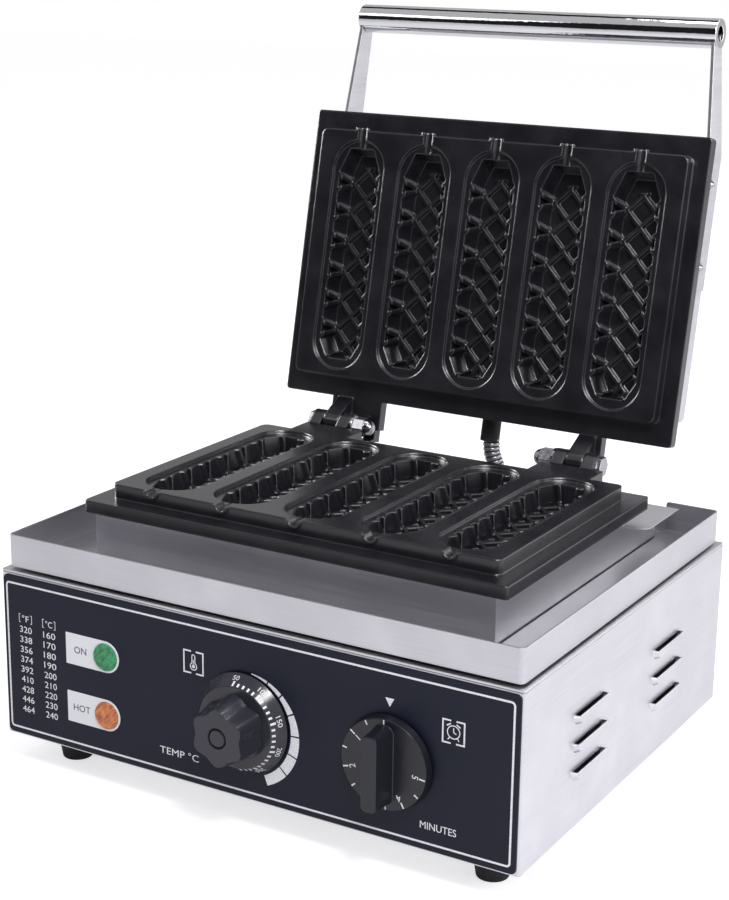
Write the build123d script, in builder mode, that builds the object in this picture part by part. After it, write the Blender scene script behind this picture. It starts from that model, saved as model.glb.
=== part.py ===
from build123d import *
import os
from math import cos, pi, radians, sin, tan

# Corn dog waffle maker with five cavities, standing open: a base with controls,
# a U-shaped drip tray, a lower plate, and a hinged lid with a tube handle.
# Millimetres, +Z up, front towards -Y. The origin is on the floor under the
# middle of the whole machine.
os.makedirs("parts", exist_ok=True)

# Clearances and cuts
overrun = 2.0
fit_gap = 0.2
running_gap = 0.4
seat_gap = 0.3
bore_clearance = 0.05

# Casing of the base, in bent sheet
case_w = 380.0
case_d = 308.0
case_h = 113.1
sheet_t = 1.0
case_corner_r = 1.6
bottom_t = 1.2
deck_joint = 0.2
deck_t = 1.5

# Rubber feet
foot_h = 22.0
foot_top_r = 13.5
foot_bottom_r = 10.0
foot_inset_x = 32.5
foot_inset_y = 32.0
foot_screw_r = 2.0
foot_head_r = 4.0
foot_head_h = 3.0
foot_recess_depth = 9.0
foot_screw_end = 3.0

# Louvres pressed out of both sides
louvre_l = 48.0
louvre_h = 7.0
louvre_rise = 3.5
louvre_draft = 30.0
louvre_slot_l = 42.0
louvre_slot_h = 4.2
louvre_slot_rise = 2.6
louvre_pitch_y = 121.0
louvre_pitch_z = 18.3
louvre_front = 67.0
louvre_top = 96.5
louvre_rows = 3

# Vent slots in the rear panel and the bottom plate
vent_l = 40.0
vent_w = 4.0
vent_pitch = 9.0
rear_vent_rows = 5
rear_vent_x = -80.0
rear_vent_z = 78.0
bottom_vent_count = 12
bottom_vent_d = 190.0

# Control panel sheet and its lamps
panel_t = 1.0
panel_inset = 1.8
panel_h = 110.8
panel_rise = 1.2
panel_corner_r = 3.5
lamp_x = -104.8
lamp_z = 73.3
lamp_pitch = 40.2
lens_r = 9.0
lens_proud = 1.0
lens_rib_w = 1.0
lens_rib_pitch = 2.6
lens_rib_h = 0.5
lens_rib_count = 7
lens_rib_angle = 45.0
lens_clearance = 0.15
label_w = 32.0
label_r = 10.7
label_t = 0.6
lamp_body_r = 8.0
lamp_body_l = 32.0
lamp_flange_r = 11.5
lamp_flange_t = 2.0

# Thermostat: body, spindle, dial and grip
thermostat_x = 1.7
knob_z = 74.0
spindle_r = 3.0
bush_r = 5.0
bush_proud = 1.0
bush_hole_r = 5.2
thermostat_w = 36.0
thermostat_h = 50.0
thermostat_d = 30.0
spindle_depth = 20.0
dial_gap = 2.0
dial_back_r = 33.0
dial_front_r = 26.5
dial_t = 8.5
dial_recess_r = 24.0
dial_recess = 3.0
grip_lobes = 6
grip_lobe_points = 6
grip_back_r = 20.8
grip_front_r = 17.2
grip_lobe = 1.5
grip_h = 19.0
grip_socket = 12.0
grip_ring_r = 6.45
grip_ring_w = 1.0
grip_ring_h = 0.4

# Timer: body, spindle and bar knob
timer_x = 104.0
timer_size = 56.0
timer_d = 32.0
timer_gap = 0.5
timer_back_r = 29.8
timer_front_r = 28.5
timer_disc_t = 6.5
timer_bar_w = 13.0
timer_bar_l = 50.0
timer_bar_h = 17.0
timer_bar_draft = 5.0
timer_bar_corner_r = 5.0

# Terminal block and glands
terminal_w = 60.0
terminal_d = 20.0
terminal_h = 18.0
terminal_x = 60.0
terminal_inset = 40.0
terminal_bore_r = 2.5
terminal_pitch = 18.0
cord_gland_x = -150.0
cord_gland_z = 48.0
cord_gland_r = 8.0
cord_gland_flange_r = 11.0
cord_gland_flange_t = 5.0
cord_gland_depth = 6.0
cord_bore_r = 4.0

# Drip tray
tray_gap = 1.5
tray_inset = 3.3
tray_h = 21.8
tray_corner_r = 4.0
tray_clearance = 1.0
tray_stub_r = 2.0
runner_w = 4.0
runner_l = 240.0
runner_inset = 22.0

# Plate housing on the deck, and its rear cover
housing_w = 295.0
housing_front = 45.5
housing_d = 242.5
housing_h = 32.6
housing_step = 187.7
ear_reach = 16.5
ear_corner_r = 6.0
cover_sheet_t = 1.2
deck_opening_rim = 12.0
stop_tab_x = 135.0
stop_tab_w = 30.0
stop_tab_h = 17.0

# Cast plates: flange, block and cavities
flange_w = 310.8
flange_d = 210.6
flange_t = 8.3
flange_corner_r = 2.5
block_rise = 9.7
lower_block_w = 286.4
upper_block_w = 288.6
block_d = 181.6
block_corner_r = 5.0
block_setback = 15.0
belly_t = 3.0
belly_w = 280.0
belly_d = 170.0
belly_setback = 25.0
parting_gap = 0.4
cavity_count = 5
cavity_pitch = 55.0
cavity_w = 43.0
cavity_l = 169.5
cavity_setback = 20.0
cavity_depth = 17.5
ledge_depth = 2.5
ledge_draft = 10.0
pocket_w = 34.0
pocket_l = 155.0
pocket_shift = -0.75
pocket_end_w = 20.0
pocket_stick_taper = 17.0
pocket_tip_taper = 13.0
pocket_draft = 12.0
bar_w = 2.6
bar_h = 3.5
bar_pitch = 21.75
bar_start = 19.0
bar_cross = 108.0
bar_angle = 45.0
rib_proud = 2.5
stick_r = 3.5
stick_reach = 12.0
lug_r = 5.5
lug_proud = 2.0

# Hinges: the axis lies behind the plates, just under the parting plane
open_deg = 102.15
hinge_from_front = 273.0
hinge_setback = 19.0
hinge_drop = 0.7
knuckle_r = 8.3
hinge_bolt_r = 4.0
web_back = 11.8
web_root = 35.0
ear_t = 9.2
knuckle_gap = 0.5
knuckle_w = 12.6
left_hinge_x = -103.0
right_hinge_x = 94.0
left_web = (-120.0, -73.0)
right_web = (72.0, 118.0)
left_arm = (-114.0, -72.0)
right_arm = (87.5, 105.0)
arm_root = 1.2
arm_past_axis = 2.0
tongue_x = (-84.0, -75.0)
tongue_past_axis = 11.0
stop_lug_h = 6.5
hinge_head_flats = 13.0
hinge_head_t = 3.5
washer_r = 8.0
washer_t = 2.0
nut_flats = 13.0
nut_hex_l = 9.0
nut_dome_r = 6.2
nut_dome_l = 6.0
dome_mid_share = 0.86
dome_top_share = 0.3

# Heaters and their shields
heater_r = 3.2
heater_bend_r = 16.0
heater_end_bend_r = 12.0
heater_half_w = 125.0
heater_front = 195.0
heater_back = 75.0
heater_end_x = 30.0
heater_end = 52.0
heater_pin_r = 1.6
heater_pin_l = 6.0
shield_t = 0.8
shield_skirt = 3.0
shield_corner_r = 4.0
bulb_r = 3.0
bulb_front = 170.0
bulb_back = 92.0
capillary_r = 0.8
capillary_bend_r = 8.0
capillary_drop = 60.0
capillary_z = 115.0
capillary_hole_r = 3.0

# Lid cover
cover_w = 288.5
cover_d = 183.1
cover_setback = 34.4
cover_h = 43.0
cover_corner_r = 4.0
cover_edge_r = 3.0

# Handle: two bent straps and a tube
strap_t = 2.5
strap_w = 32.5
strap_rise = 24.0
strap_back = 128.0
strap_shoulder = 205.0
strap_bend = 222.0
strap_neck_rise = 32.0
strap_bar_x = 139.0
strap_tip_w = 14.5
strap_bend_r = 12.0
strap_tip_gap = 4.0
handle_l = 282.5
handle_r = 10.2
handle_wall = 1.5
handle_reach = 302.5
handle_rise = 37.784
handle_cap_t = 4.0
handle_cap_hole_r = 5.2
arm_bolt_reaches = (200.0, 143.0)
arm_bolt_rise = 32.0
arm_bolt_r = 2.5
arm_bolt_head_r = 4.5
arm_bolt_head_t = 2.5
arm_nut_flats = 8.0
arm_nut_hex_l = 3.5
arm_nut_dome_r = 3.8
arm_nut_dome_l = 3.0

# Conduit between the lid and the base
conduit_x = 7.5
conduit_rise = 35.8
conduit_crest_r = 6.2
conduit_root_r = 5.3
conduit_bore_r = 4.3
conduit_rib_pitch = 3.2
conduit_rib_shares = (0.0, 0.2, 0.5, 0.7)
sleeve_r = 7.0
sleeve_bore_r = 6.5
sleeve_l = 32.5
sleeve_flange_r = 9.5
sleeve_flange_t = 1.5
gland_r = 9.5
gland_flange_r = 13.0
gland_flange_t = 3.0
gland_bore_r = 6.6
gland_shank_r = 7.5
gland_depth = 5.0
gland_socket_l = 14.0
gland_turn = 6.0
conduit_route = [
    (7.5, 138.5, 212.3),
    (7.5, 129.2, 169.6),
    (17.0, 140.5, 137.0),
    (26.0, 149.0, 103.0),
    (41.0, 152.0, 70.5),
    (67.0, 152.0, 47.5),
    (98.5, 150.0, 38.5),
    (128.0, 150.0, 38.5),
]

# Heights, from the floor up
case_top = foot_h + case_h
deck_z = case_top + deck_joint
deck_top = deck_z + deck_t
tray_z = deck_top + tray_gap
tray_top = tray_z + tray_h
ear_z = tray_top + running_gap
housing_top = deck_top + housing_h
flange_z = housing_top + seat_gap
parting_z = flange_z + flange_t + block_rise
hinge_z = parting_z - hinge_drop

# The open lid: v runs back from the hinge axis and w up, as on the closed lid
turn_cos = cos(radians(open_deg))
turn_sin = sin(radians(open_deg))


def opened(v, w):
    """Place (from the axis) of a point of the closed lid once the lid is open."""
    return v * turn_cos + w * turn_sin, w * turn_cos - v * turn_sin


# Depths: the whole machine is centred between the dial's face and the handle
handle_open_y, handle_open_z = opened(-handle_reach, handle_rise)
front_reach = panel_t + dial_gap + dial_t + grip_h
rear_reach = hinge_from_front + handle_open_y + handle_r
front_y = (front_reach - rear_reach) / 2
rear_y = front_y + case_d
hinge_y = front_y + hinge_from_front
housing_y = front_y + housing_front
housing_rear = housing_y + housing_d
step_y = housing_y + housing_step

front = Plane.XZ.offset(-front_y)
panel_face = front.offset(panel_t)
rear = Plane.XZ.offset(-rear_y)
hose_end_x, hose_end_y, hose_end_z = conduit_route[-1]
gland_x = hose_end_x + gland_turn
base_hinge = Plane(origin=(0, hinge_y, hinge_z))
base_side = Plane(origin=(0, hinge_y, hinge_z), x_dir=(0, 1, 0), z_dir=(1, 0, 0))
lid = Plane(origin=(0, hinge_y, hinge_z), x_dir=(1, 0, 0), z_dir=(0, turn_sin, turn_cos))
lid_side = Plane(origin=(0, hinge_y, hinge_z), x_dir=(0, turn_cos, -turn_sin), z_dir=(1, 0, 0))
upper_face_w = hinge_drop + parting_gap
upper_flange_w = upper_face_w + block_rise
upper_back_w = upper_flange_w + flange_t
lower_face = base_hinge.offset(hinge_drop)
upper_face = Plane(origin=lid.offset(upper_face_w).origin, x_dir=(-1, 0, 0), z_dir=-lid.z_dir)


def save(piece, name):
    """Label a finished piece and write it under its node name."""
    piece.label = name
    export_step(piece, f"parts/{name}.step")


# Casing

def louvre(length, height, rise, draft):
    """Half of a raised slot shape, open at its straight upper edge."""
    with BuildPart() as pocket:
        with BuildSketch(Plane.YZ):
            SlotOverall(length, 2 * height)
        extrude(amount=rise, taper=draft)
        split(bisect_by=Plane.XY, keep=Keep.BOTTOM)
    return pocket.part


hood = louvre(louvre_l, louvre_h, louvre_rise, louvre_draft)
hood_space = Pos(-sheet_t - overrun, 0, 0) * louvre(
    louvre_slot_l, louvre_slot_h, louvre_slot_rise + sheet_t + overrun, 0)
hood_places = []
for column in range(2):
    for row in range(louvre_rows):
        hood_y = front_y + louvre_front + louvre_l / 2 + column * louvre_pitch_y
        hood_z = louvre_top - row * louvre_pitch_z
        hood_places.append(Pos(case_w / 2, hood_y, hood_z))
hoods = [place * hood for place in hood_places]
hood_cuts = [place * hood_space for place in hood_places]

with BuildPart() as casing:
    with BuildSketch(Plane.XY.offset(foot_h)):
        with Locations((0, front_y)):
            Rectangle(case_w, case_d, align=(Align.CENTER, Align.MIN))
        fillet(vertices().group_by(Axis.Y)[0], case_corner_r)
        with Locations((0, front_y + sheet_t)):
            Rectangle(case_w - 2 * sheet_t, case_d, align=(Align.CENTER, Align.MIN),
                      mode=Mode.SUBTRACT)
    extrude(amount=case_h)
    add(hoods)
    add([mirror(piece, about=Plane.YZ) for piece in hoods])
    add(hood_cuts, mode=Mode.SUBTRACT)
    add([mirror(piece, about=Plane.YZ) for piece in hood_cuts], mode=Mode.SUBTRACT)
    with BuildSketch(front):
        with Locations((thermostat_x, knob_z), (timer_x, knob_z)):
            Circle(bush_hole_r)
        with Locations((lamp_x, lamp_z)):
            with GridLocations(0, lamp_pitch, 1, 2):
                Circle(lens_r + lens_clearance)
    extrude(amount=2 * sheet_t, both=True, mode=Mode.SUBTRACT)
save(casing.part, "casing")

inner_w = case_w - 2 * (sheet_t + fit_gap)
with BuildPart() as rear_panel:
    with BuildSketch(rear):
        with Locations((0, foot_h)):
            Rectangle(inner_w, case_h, align=(Align.CENTER, Align.MIN))
        with Locations((rear_vent_x, rear_vent_z)):
            with GridLocations(vent_l + vent_pitch, vent_pitch, 2, rear_vent_rows):
                SlotOverall(vent_l, vent_w, mode=Mode.SUBTRACT)
        with Locations((cord_gland_x, cord_gland_z)):
            Circle(cord_gland_r + fit_gap, mode=Mode.SUBTRACT)
        with Locations((gland_x, hose_end_z)):
            Circle(gland_shank_r + fit_gap, mode=Mode.SUBTRACT)
    extrude(amount=sheet_t)
save(rear_panel.part, "rear_panel")

foot_x = case_w / 2 - foot_inset_x
foot_y = case_d / 2 - foot_inset_y
case_mid_y = front_y + case_d / 2
bottom_d = case_d - 2 * (sheet_t + fit_gap)
with BuildPart() as bottom_plate:
    with BuildSketch(Plane.XY.offset(foot_h)):
        with Locations((0, case_mid_y)):
            Rectangle(inner_w, bottom_d)
            with GridLocations(2 * foot_x, 2 * foot_y, 2, 2):
                Circle(foot_screw_r + fit_gap, mode=Mode.SUBTRACT)
            with GridLocations(vent_pitch, bottom_vent_d, bottom_vent_count, 2):
                SlotOverall(vent_l, vent_w, rotation=90, mode=Mode.SUBTRACT)
    extrude(amount=bottom_t)
save(bottom_plate.part, "bottom_plate")

with BuildPart() as deck_plate:
    with BuildSketch(Plane.XY.offset(deck_z)):
        with Locations((0, case_mid_y)):
            RectangleRounded(case_w, case_d, case_corner_r)
        with Locations((0, housing_y + deck_opening_rim)):
            Rectangle(housing_w - 2 * deck_opening_rim, housing_step - 2 * deck_opening_rim,
                      align=(Align.CENTER, Align.MIN), mode=Mode.SUBTRACT)
    extrude(amount=deck_t)
    with BuildSketch(Plane.XY.offset(deck_top)):
        with Locations((0, case_mid_y)):
            with GridLocations(case_w - 2 * runner_inset, 0, 2, 1):
                SlotOverall(runner_l, runner_w, rotation=90)
    extrude(amount=tray_gap - running_gap)
    with BuildSketch(Plane.XY.offset(deck_top)):
        with Locations((0, front_y + case_d - deck_t / 2)):
            with GridLocations(2 * stop_tab_x, 0, 2, 1):
                Rectangle(stop_tab_w, deck_t)
    extrude(amount=stop_tab_h)
save(deck_plate.part, "deck_plate")


# Feet

foot_places = [(sx, sy) for sy in (-1, 1) for sx in (-1, 1)]
for number, (sx, sy) in enumerate(foot_places, start=1):
    place = Plane(origin=(sx * foot_x, case_mid_y + sy * foot_y, 0))
    with BuildPart() as foot:
        with BuildSketch(place):
            Circle(foot_bottom_r)
        with BuildSketch(place.offset(foot_h)):
            Circle(foot_top_r)
        loft()
        with BuildSketch(place):
            Circle(foot_head_r + fit_gap)
        extrude(amount=foot_recess_depth, mode=Mode.SUBTRACT)
        with BuildSketch(place):
            Circle(foot_screw_r + fit_gap)
        extrude(amount=foot_h, mode=Mode.SUBTRACT)
    save(foot.part, f"foot_{number}")
    with BuildPart() as foot_screw:
        with BuildSketch(place.offset(foot_recess_depth - foot_head_h)):
            Circle(foot_head_r)
        extrude(amount=foot_head_h)
        with BuildSketch(place.offset(foot_recess_depth)):
            Circle(foot_screw_r)
        extrude(amount=foot_h - foot_recess_depth + bottom_t + foot_screw_end)
    save(foot_screw.part, f"foot_screw_{number}")


# Control panel and lamps

panel_w = case_w - 2 * panel_inset
panel_mid_z = foot_h + panel_rise + panel_h / 2
with BuildPart() as control_panel:
    with BuildSketch(front):
        with Locations((0, panel_mid_z)):
            RectangleRounded(panel_w, panel_h, panel_corner_r)
        with Locations((thermostat_x, knob_z), (timer_x, knob_z)):
            Circle(bush_hole_r, mode=Mode.SUBTRACT)
        with Locations((lamp_x, lamp_z)):
            with GridLocations(0, lamp_pitch, 1, 2):
                Circle(lens_r + lens_clearance, mode=Mode.SUBTRACT)
    extrude(amount=panel_t)
save(control_panel.part, "control_panel")

lens_front = panel_face.offset(label_t + lens_proud)
for name, side in (("green", 1), ("orange", -1)):
    z = lamp_z + side * lamp_pitch / 2
    with BuildPart() as label_plate:
        with BuildSketch(panel_face):
            with Locations((lamp_x, z)):
                Rectangle(label_w, 2 * label_r, align=(Align.MAX, Align.CENTER))
                Circle(label_r)
                Circle(lens_r + lens_clearance, mode=Mode.SUBTRACT)
        extrude(amount=label_t)
    save(label_plate.part, f"label_plate_{name}")
    with BuildPart() as lens:
        with BuildSketch(lens_front):
            with Locations((lamp_x, z)):
                Circle(lens_r)
        extrude(amount=-(label_t + lens_proud + panel_t + sheet_t))
        with BuildSketch(lens_front):
            with Locations(Location((lamp_x, z), lens_rib_angle)):
                with GridLocations(0, lens_rib_pitch, 1, lens_rib_count):
                    Rectangle(2 * lens_r, lens_rib_w)
            with Locations((lamp_x, z)):
                Circle(lens_r - lens_rib_h, mode=Mode.INTERSECT)
        extrude(amount=lens_rib_h)
    save(lens.part, f"lamp_lens_{name}")
    with BuildPart() as lamp_body:
        with BuildSketch(front.offset(-sheet_t)):
            with Locations((lamp_x, z)):
                Circle(lamp_flange_r)
        extrude(amount=-lamp_flange_t)
        with BuildSketch(front.offset(-sheet_t)):
            with Locations((lamp_x, z)):
                Circle(lamp_body_r)
        extrude(amount=-lamp_body_l)
    save(lamp_body.part, f"lamp_body_{name}")


# Thermostat and timer behind the panel

def switch_body(x, width, height, depth):
    """Box behind the front wall with a bush through the wall for its spindle."""
    with BuildPart() as body:
        with BuildSketch(front.offset(-sheet_t)):
            with Locations((x, knob_z)):
                Rectangle(width, height)
        extrude(amount=-depth)
        with BuildSketch(front.offset(-sheet_t)):
            with Locations((x, knob_z)):
                Circle(bush_r)
        extrude(amount=sheet_t + panel_t + bush_proud)
        with BuildSketch(panel_face.offset(bush_proud)):
            with Locations((x, knob_z)):
                Circle(spindle_r + bore_clearance)
        extrude(amount=-(bush_proud + panel_t + spindle_depth), mode=Mode.SUBTRACT)
    return body.part


def spindle(x, reach):
    """Round spindle from inside the body to a reach in front of the panel."""
    with BuildPart() as rod:
        with BuildSketch(front.offset(seat_gap - spindle_depth)):
            with Locations((x, knob_z)):
                Circle(spindle_r)
        extrude(amount=spindle_depth - seat_gap + panel_t + reach)
    return rod.part


dial_face = panel_face.offset(dial_gap + dial_t)
save(switch_body(thermostat_x, thermostat_w, thermostat_h, thermostat_d), "thermostat_body")
save(switch_body(timer_x, timer_size, timer_size, timer_d), "timer_body")
save(spindle(thermostat_x, dial_gap + dial_t + grip_socket - seat_gap), "thermostat_spindle")
save(spindle(timer_x, timer_gap + timer_disc_t + grip_socket - seat_gap), "timer_spindle")

with BuildPart() as thermostat_dial:
    with BuildSketch(panel_face.offset(dial_gap)):
        with Locations((thermostat_x, knob_z)):
            Circle(dial_back_r)
    with BuildSketch(dial_face):
        with Locations((thermostat_x, knob_z)):
            Circle(dial_front_r)
    loft()
    with BuildSketch(panel_face.offset(dial_gap)):
        with Locations((thermostat_x, knob_z)):
            Circle(dial_recess_r)
    extrude(amount=dial_recess, mode=Mode.SUBTRACT)
    with BuildSketch(panel_face.offset(dial_gap)):
        with Locations((thermostat_x, knob_z)):
            Circle(spindle_r + bore_clearance)
    extrude(amount=dial_t, mode=Mode.SUBTRACT)
save(thermostat_dial.part, "thermostat_dial")


def lobed_outline(radius):
    """Points of a closed wave round a circle, one crest for each lobe."""
    steps = grip_lobes * grip_lobe_points
    points = []
    for step in range(steps):
        angle = 2 * pi * step / steps
        reach = radius + grip_lobe * cos(grip_lobes * angle)
        points.append((thermostat_x + reach * sin(angle), knob_z + reach * cos(angle)))
    return points


with BuildPart() as thermostat_grip:
    for face, radius in ((dial_face, grip_back_r), (dial_face.offset(grip_h), grip_front_r)):
        with BuildSketch(face):
            with BuildLine():
                Spline(*lobed_outline(radius), periodic=True)
            make_face()
    loft()
    with BuildSketch(dial_face):
        with Locations((thermostat_x, knob_z)):
            Circle(spindle_r + bore_clearance)
    extrude(amount=grip_socket, mode=Mode.SUBTRACT)
    with BuildSketch(dial_face.offset(grip_h)):
        with Locations((thermostat_x, knob_z)):
            Circle(grip_ring_r)
            Circle(grip_ring_r - grip_ring_w, mode=Mode.SUBTRACT)
    extrude(amount=-grip_ring_h, mode=Mode.SUBTRACT)
save(thermostat_grip.part, "thermostat_grip")

timer_back = panel_face.offset(timer_gap + bush_proud)
timer_face = panel_face.offset(timer_gap + timer_disc_t)
with BuildPart() as timer_knob:
    with BuildSketch(timer_back):
        with Locations((timer_x, knob_z)):
            Circle(timer_back_r)
    with BuildSketch(timer_face):
        with Locations((timer_x, knob_z)):
            Circle(timer_front_r)
    loft()
    with BuildSketch(timer_face):
        with Locations((timer_x, knob_z)):
            RectangleRounded(timer_bar_w, timer_bar_l, timer_bar_corner_r)
    extrude(amount=timer_bar_h, taper=timer_bar_draft)
    with BuildSketch(timer_back):
        with Locations((timer_x, knob_z)):
            Circle(spindle_r + bore_clearance)
    extrude(amount=timer_disc_t - bush_proud + grip_socket, mode=Mode.SUBTRACT)
save(timer_knob.part, "timer_knob")


# Terminal block and glands of the rear panel

with BuildPart() as terminal_block:
    with BuildSketch(Plane.XY.offset(foot_h + bottom_t)):
        with Locations((terminal_x, rear_y - terminal_inset)):
            Rectangle(terminal_w, terminal_d)
            with GridLocations(terminal_pitch, 0, 3, 1):
                Circle(terminal_bore_r, mode=Mode.SUBTRACT)
    extrude(amount=terminal_h)
save(terminal_block.part, "terminal_block")

with BuildPart() as cord_gland:
    with BuildSketch(rear):
        with Locations((cord_gland_x, cord_gland_z)):
            Circle(cord_gland_flange_r)
    extrude(amount=-cord_gland_flange_t)
    with BuildSketch(rear):
        with Locations((cord_gland_x, cord_gland_z)):
            Circle(cord_gland_r)
    extrude(amount=cord_gland_depth)
    with BuildSketch(rear.offset(-cord_gland_flange_t)):
        with Locations((cord_gland_x, cord_gland_z)):
            Circle(cord_bore_r)
    extrude(amount=cord_gland_flange_t + cord_gland_depth, mode=Mode.SUBTRACT)
save(cord_gland.part, "cord_gland")

# Elbow gland: a stem out of the rear panel and a socket along X for the conduit
socket_mouth = Plane.YZ.offset(hose_end_x - gland_socket_l)
stem_l = hose_end_y - rear_y
with BuildPart() as conduit_gland:
    with BuildSketch(rear):
        with Locations((gland_x, hose_end_z)):
            Circle(gland_flange_r)
    extrude(amount=-gland_flange_t)
    with BuildSketch(rear):
        with Locations((gland_x, hose_end_z)):
            Circle(gland_r)
    extrude(amount=-stem_l)
    with BuildSketch(rear):
        with Locations((gland_x, hose_end_z)):
            Circle(gland_shank_r)
    extrude(amount=gland_depth)
    with BuildSketch(socket_mouth):
        with Locations((hose_end_y, hose_end_z)):
            Circle(gland_r)
    extrude(amount=gland_socket_l + gland_turn)
    with Locations((gland_x, hose_end_y, hose_end_z)):
        Sphere(gland_r)
    with BuildSketch(socket_mouth):
        with Locations((hose_end_y, hose_end_z)):
            Circle(gland_bore_r)
    extrude(amount=gland_socket_l, mode=Mode.SUBTRACT)
    with BuildSketch(socket_mouth):
        with Locations((hose_end_y, hose_end_z)):
            Circle(conduit_bore_r)
    extrude(amount=gland_socket_l + gland_turn, mode=Mode.SUBTRACT)
    with BuildSketch(rear.offset(gland_depth)):
        with Locations((gland_x, hose_end_z)):
            Circle(conduit_bore_r)
    extrude(amount=-(gland_depth + stem_l), mode=Mode.SUBTRACT)
save(conduit_gland.part, "conduit_gland")


# Drip tray: floor and rim round the housing, open at the middle of the rear

tray_w = case_w - 2 * tray_inset
tray_d = case_d - 2 * tray_inset
tray_y = front_y + tray_inset
notch_w = housing_w + 2 * tray_clearance
notch_y = housing_y - tray_clearance
tray_rear = tray_y + tray_d
stub_x = notch_w / 2
with BuildPart() as drip_tray:
    with BuildSketch(Plane.XY.offset(tray_z)):
        with Locations((0, tray_y)):
            Rectangle(tray_w, tray_d, align=(Align.CENTER, Align.MIN))
        fillet(vertices(), tray_corner_r)
        with Locations((0, notch_y)):
            Rectangle(notch_w, tray_d, align=(Align.CENTER, Align.MIN), mode=Mode.SUBTRACT)
    extrude(amount=sheet_t)
    with BuildSketch(Plane.XY.offset(tray_z)):
        with Locations((0, tray_y)):
            Rectangle(tray_w, tray_d, align=(Align.CENTER, Align.MIN))
        fillet(vertices(), tray_corner_r)
        with Locations((0, tray_y + sheet_t)):
            with BuildSketch(mode=Mode.PRIVATE) as tray_inside:
                Rectangle(tray_w - 2 * sheet_t, tray_d - 2 * sheet_t,
                          align=(Align.CENTER, Align.MIN))
                fillet(vertices(), tray_corner_r - sheet_t)
        with Locations((0, tray_y + sheet_t)):
            add(tray_inside.sketch, mode=Mode.SUBTRACT)
        with Locations((0, tray_y + tray_d / 2)):
            Rectangle(notch_w, tray_d, align=(Align.CENTER, Align.MIN), mode=Mode.SUBTRACT)
    extrude(amount=tray_h)
    rim_corners = edges().filter_by(Axis.Y).filter_by_position(
        Axis.Z, tray_top - sheet_t, tray_top).filter_by_position(
        Axis.X, -stub_x - sheet_t, stub_x + sheet_t)
    fillet(rim_corners, tray_stub_r)
save(drip_tray.part, "drip_tray")


# Plate housing and its rear cover

with BuildPart() as plate_housing:
    with BuildSketch(Plane.XY.offset(deck_top)):
        with Locations((0, housing_y)):
            Rectangle(housing_w, housing_d, align=(Align.CENTER, Align.MIN))
        with Locations((0, housing_y + sheet_t)):
            Rectangle(housing_w - 2 * sheet_t, housing_d - 2 * sheet_t,
                      align=(Align.CENTER, Align.MIN), mode=Mode.SUBTRACT)
    extrude(amount=housing_h)
    with BuildSketch(Plane.XY.offset(ear_z)):
        with Locations((0, step_y)):
            Rectangle(housing_w + overrun, housing_d, align=(Align.CENTER, Align.MIN))
    extrude(amount=housing_h, mode=Mode.SUBTRACT)
    with BuildSketch(Plane.XY.offset(ear_z)):
        with Locations((0, step_y)):
            Rectangle(housing_w - sheet_t, sheet_t, align=(Align.CENTER, Align.MAX))
    extrude(amount=housing_top - ear_z)
save(plate_housing.part, "plate_housing")

with BuildPart() as rear_cover:
    with BuildSketch(Plane.XY.offset(ear_z)):
        with Locations((0, step_y + fit_gap)):
            Rectangle(housing_w + 2 * ear_reach, housing_rear - step_y - fit_gap,
                      align=(Align.CENTER, Align.MIN))
        fillet(vertices().group_by(Axis.Y)[0], ear_corner_r)
    extrude(amount=cover_sheet_t)
save(rear_cover.part, "rear_cover")


# One cavity, as the space that it takes out of a plate

def pocket_outline(inset):
    """Corners of the eight-sided inner pocket, narrowed all round by an inset."""
    half_w = pocket_w / 2 - inset
    end_w = pocket_end_w / 2 - inset / 2
    front_end = pocket_shift - pocket_l / 2 + inset
    back_end = pocket_shift + pocket_l / 2 - inset
    return [
        (-end_w, front_end),
        (end_w, front_end),
        (half_w, front_end + pocket_stick_taper),
        (half_w, back_end - pocket_tip_taper),
        (end_w, back_end),
        (-end_w, back_end),
        (-half_w, back_end - pocket_tip_taper),
        (-half_w, front_end + pocket_stick_taper),
    ]


pocket_depth = cavity_depth - ledge_depth
with BuildPart() as pocket_core:
    with BuildSketch(Plane.XY.offset(-ledge_depth)):
        Polygon(*pocket_outline(rib_proud), align=None)
    extrude(amount=-(pocket_depth - bar_h), taper=pocket_draft)

bar_first = -cavity_l / 2 + bar_start
bar_lines = int(pocket_l / bar_pitch) + 2
with BuildPart() as lattice:
    with BuildSketch(Plane.XY.offset(-cavity_depth)):
        for line in range(bar_lines):
            cross_y = -cavity_l / 2 + bar_cross + (line - bar_lines + 3) * bar_pitch
            with Locations((0, cross_y)):
                Rectangle(pocket_l, bar_w, rotation=bar_angle)
                Rectangle(pocket_l, bar_w, rotation=-bar_angle)
        with Locations((0, bar_first)):
            Rectangle(pocket_w, cavity_l, align=(Align.CENTER, Align.MIN), mode=Mode.INTERSECT)
    extrude(amount=pocket_depth)
    add(pocket_core.part, mode=Mode.SUBTRACT)

cavity_mid = -(hinge_setback + cavity_setback + cavity_l / 2)
block_front = -(hinge_setback + block_setback + block_d)
with BuildPart() as cavity_space:
    with BuildSketch():
        SlotOverall(cavity_l, cavity_w, rotation=90)
    extrude(amount=-ledge_depth, taper=ledge_draft)
    with BuildSketch(Plane.XY.offset(-ledge_depth)):
        Polygon(*pocket_outline(0), align=None)
    extrude(amount=-pocket_depth, taper=pocket_draft)
    add(lattice.part, mode=Mode.SUBTRACT)
    with BuildSketch(Plane.XZ.offset(cavity_l / 2 - stick_reach)):
        Circle(stick_r)
    extrude(amount=cavity_mid - cavity_l / 2 - block_front + stick_reach + lug_proud + overrun)


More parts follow.
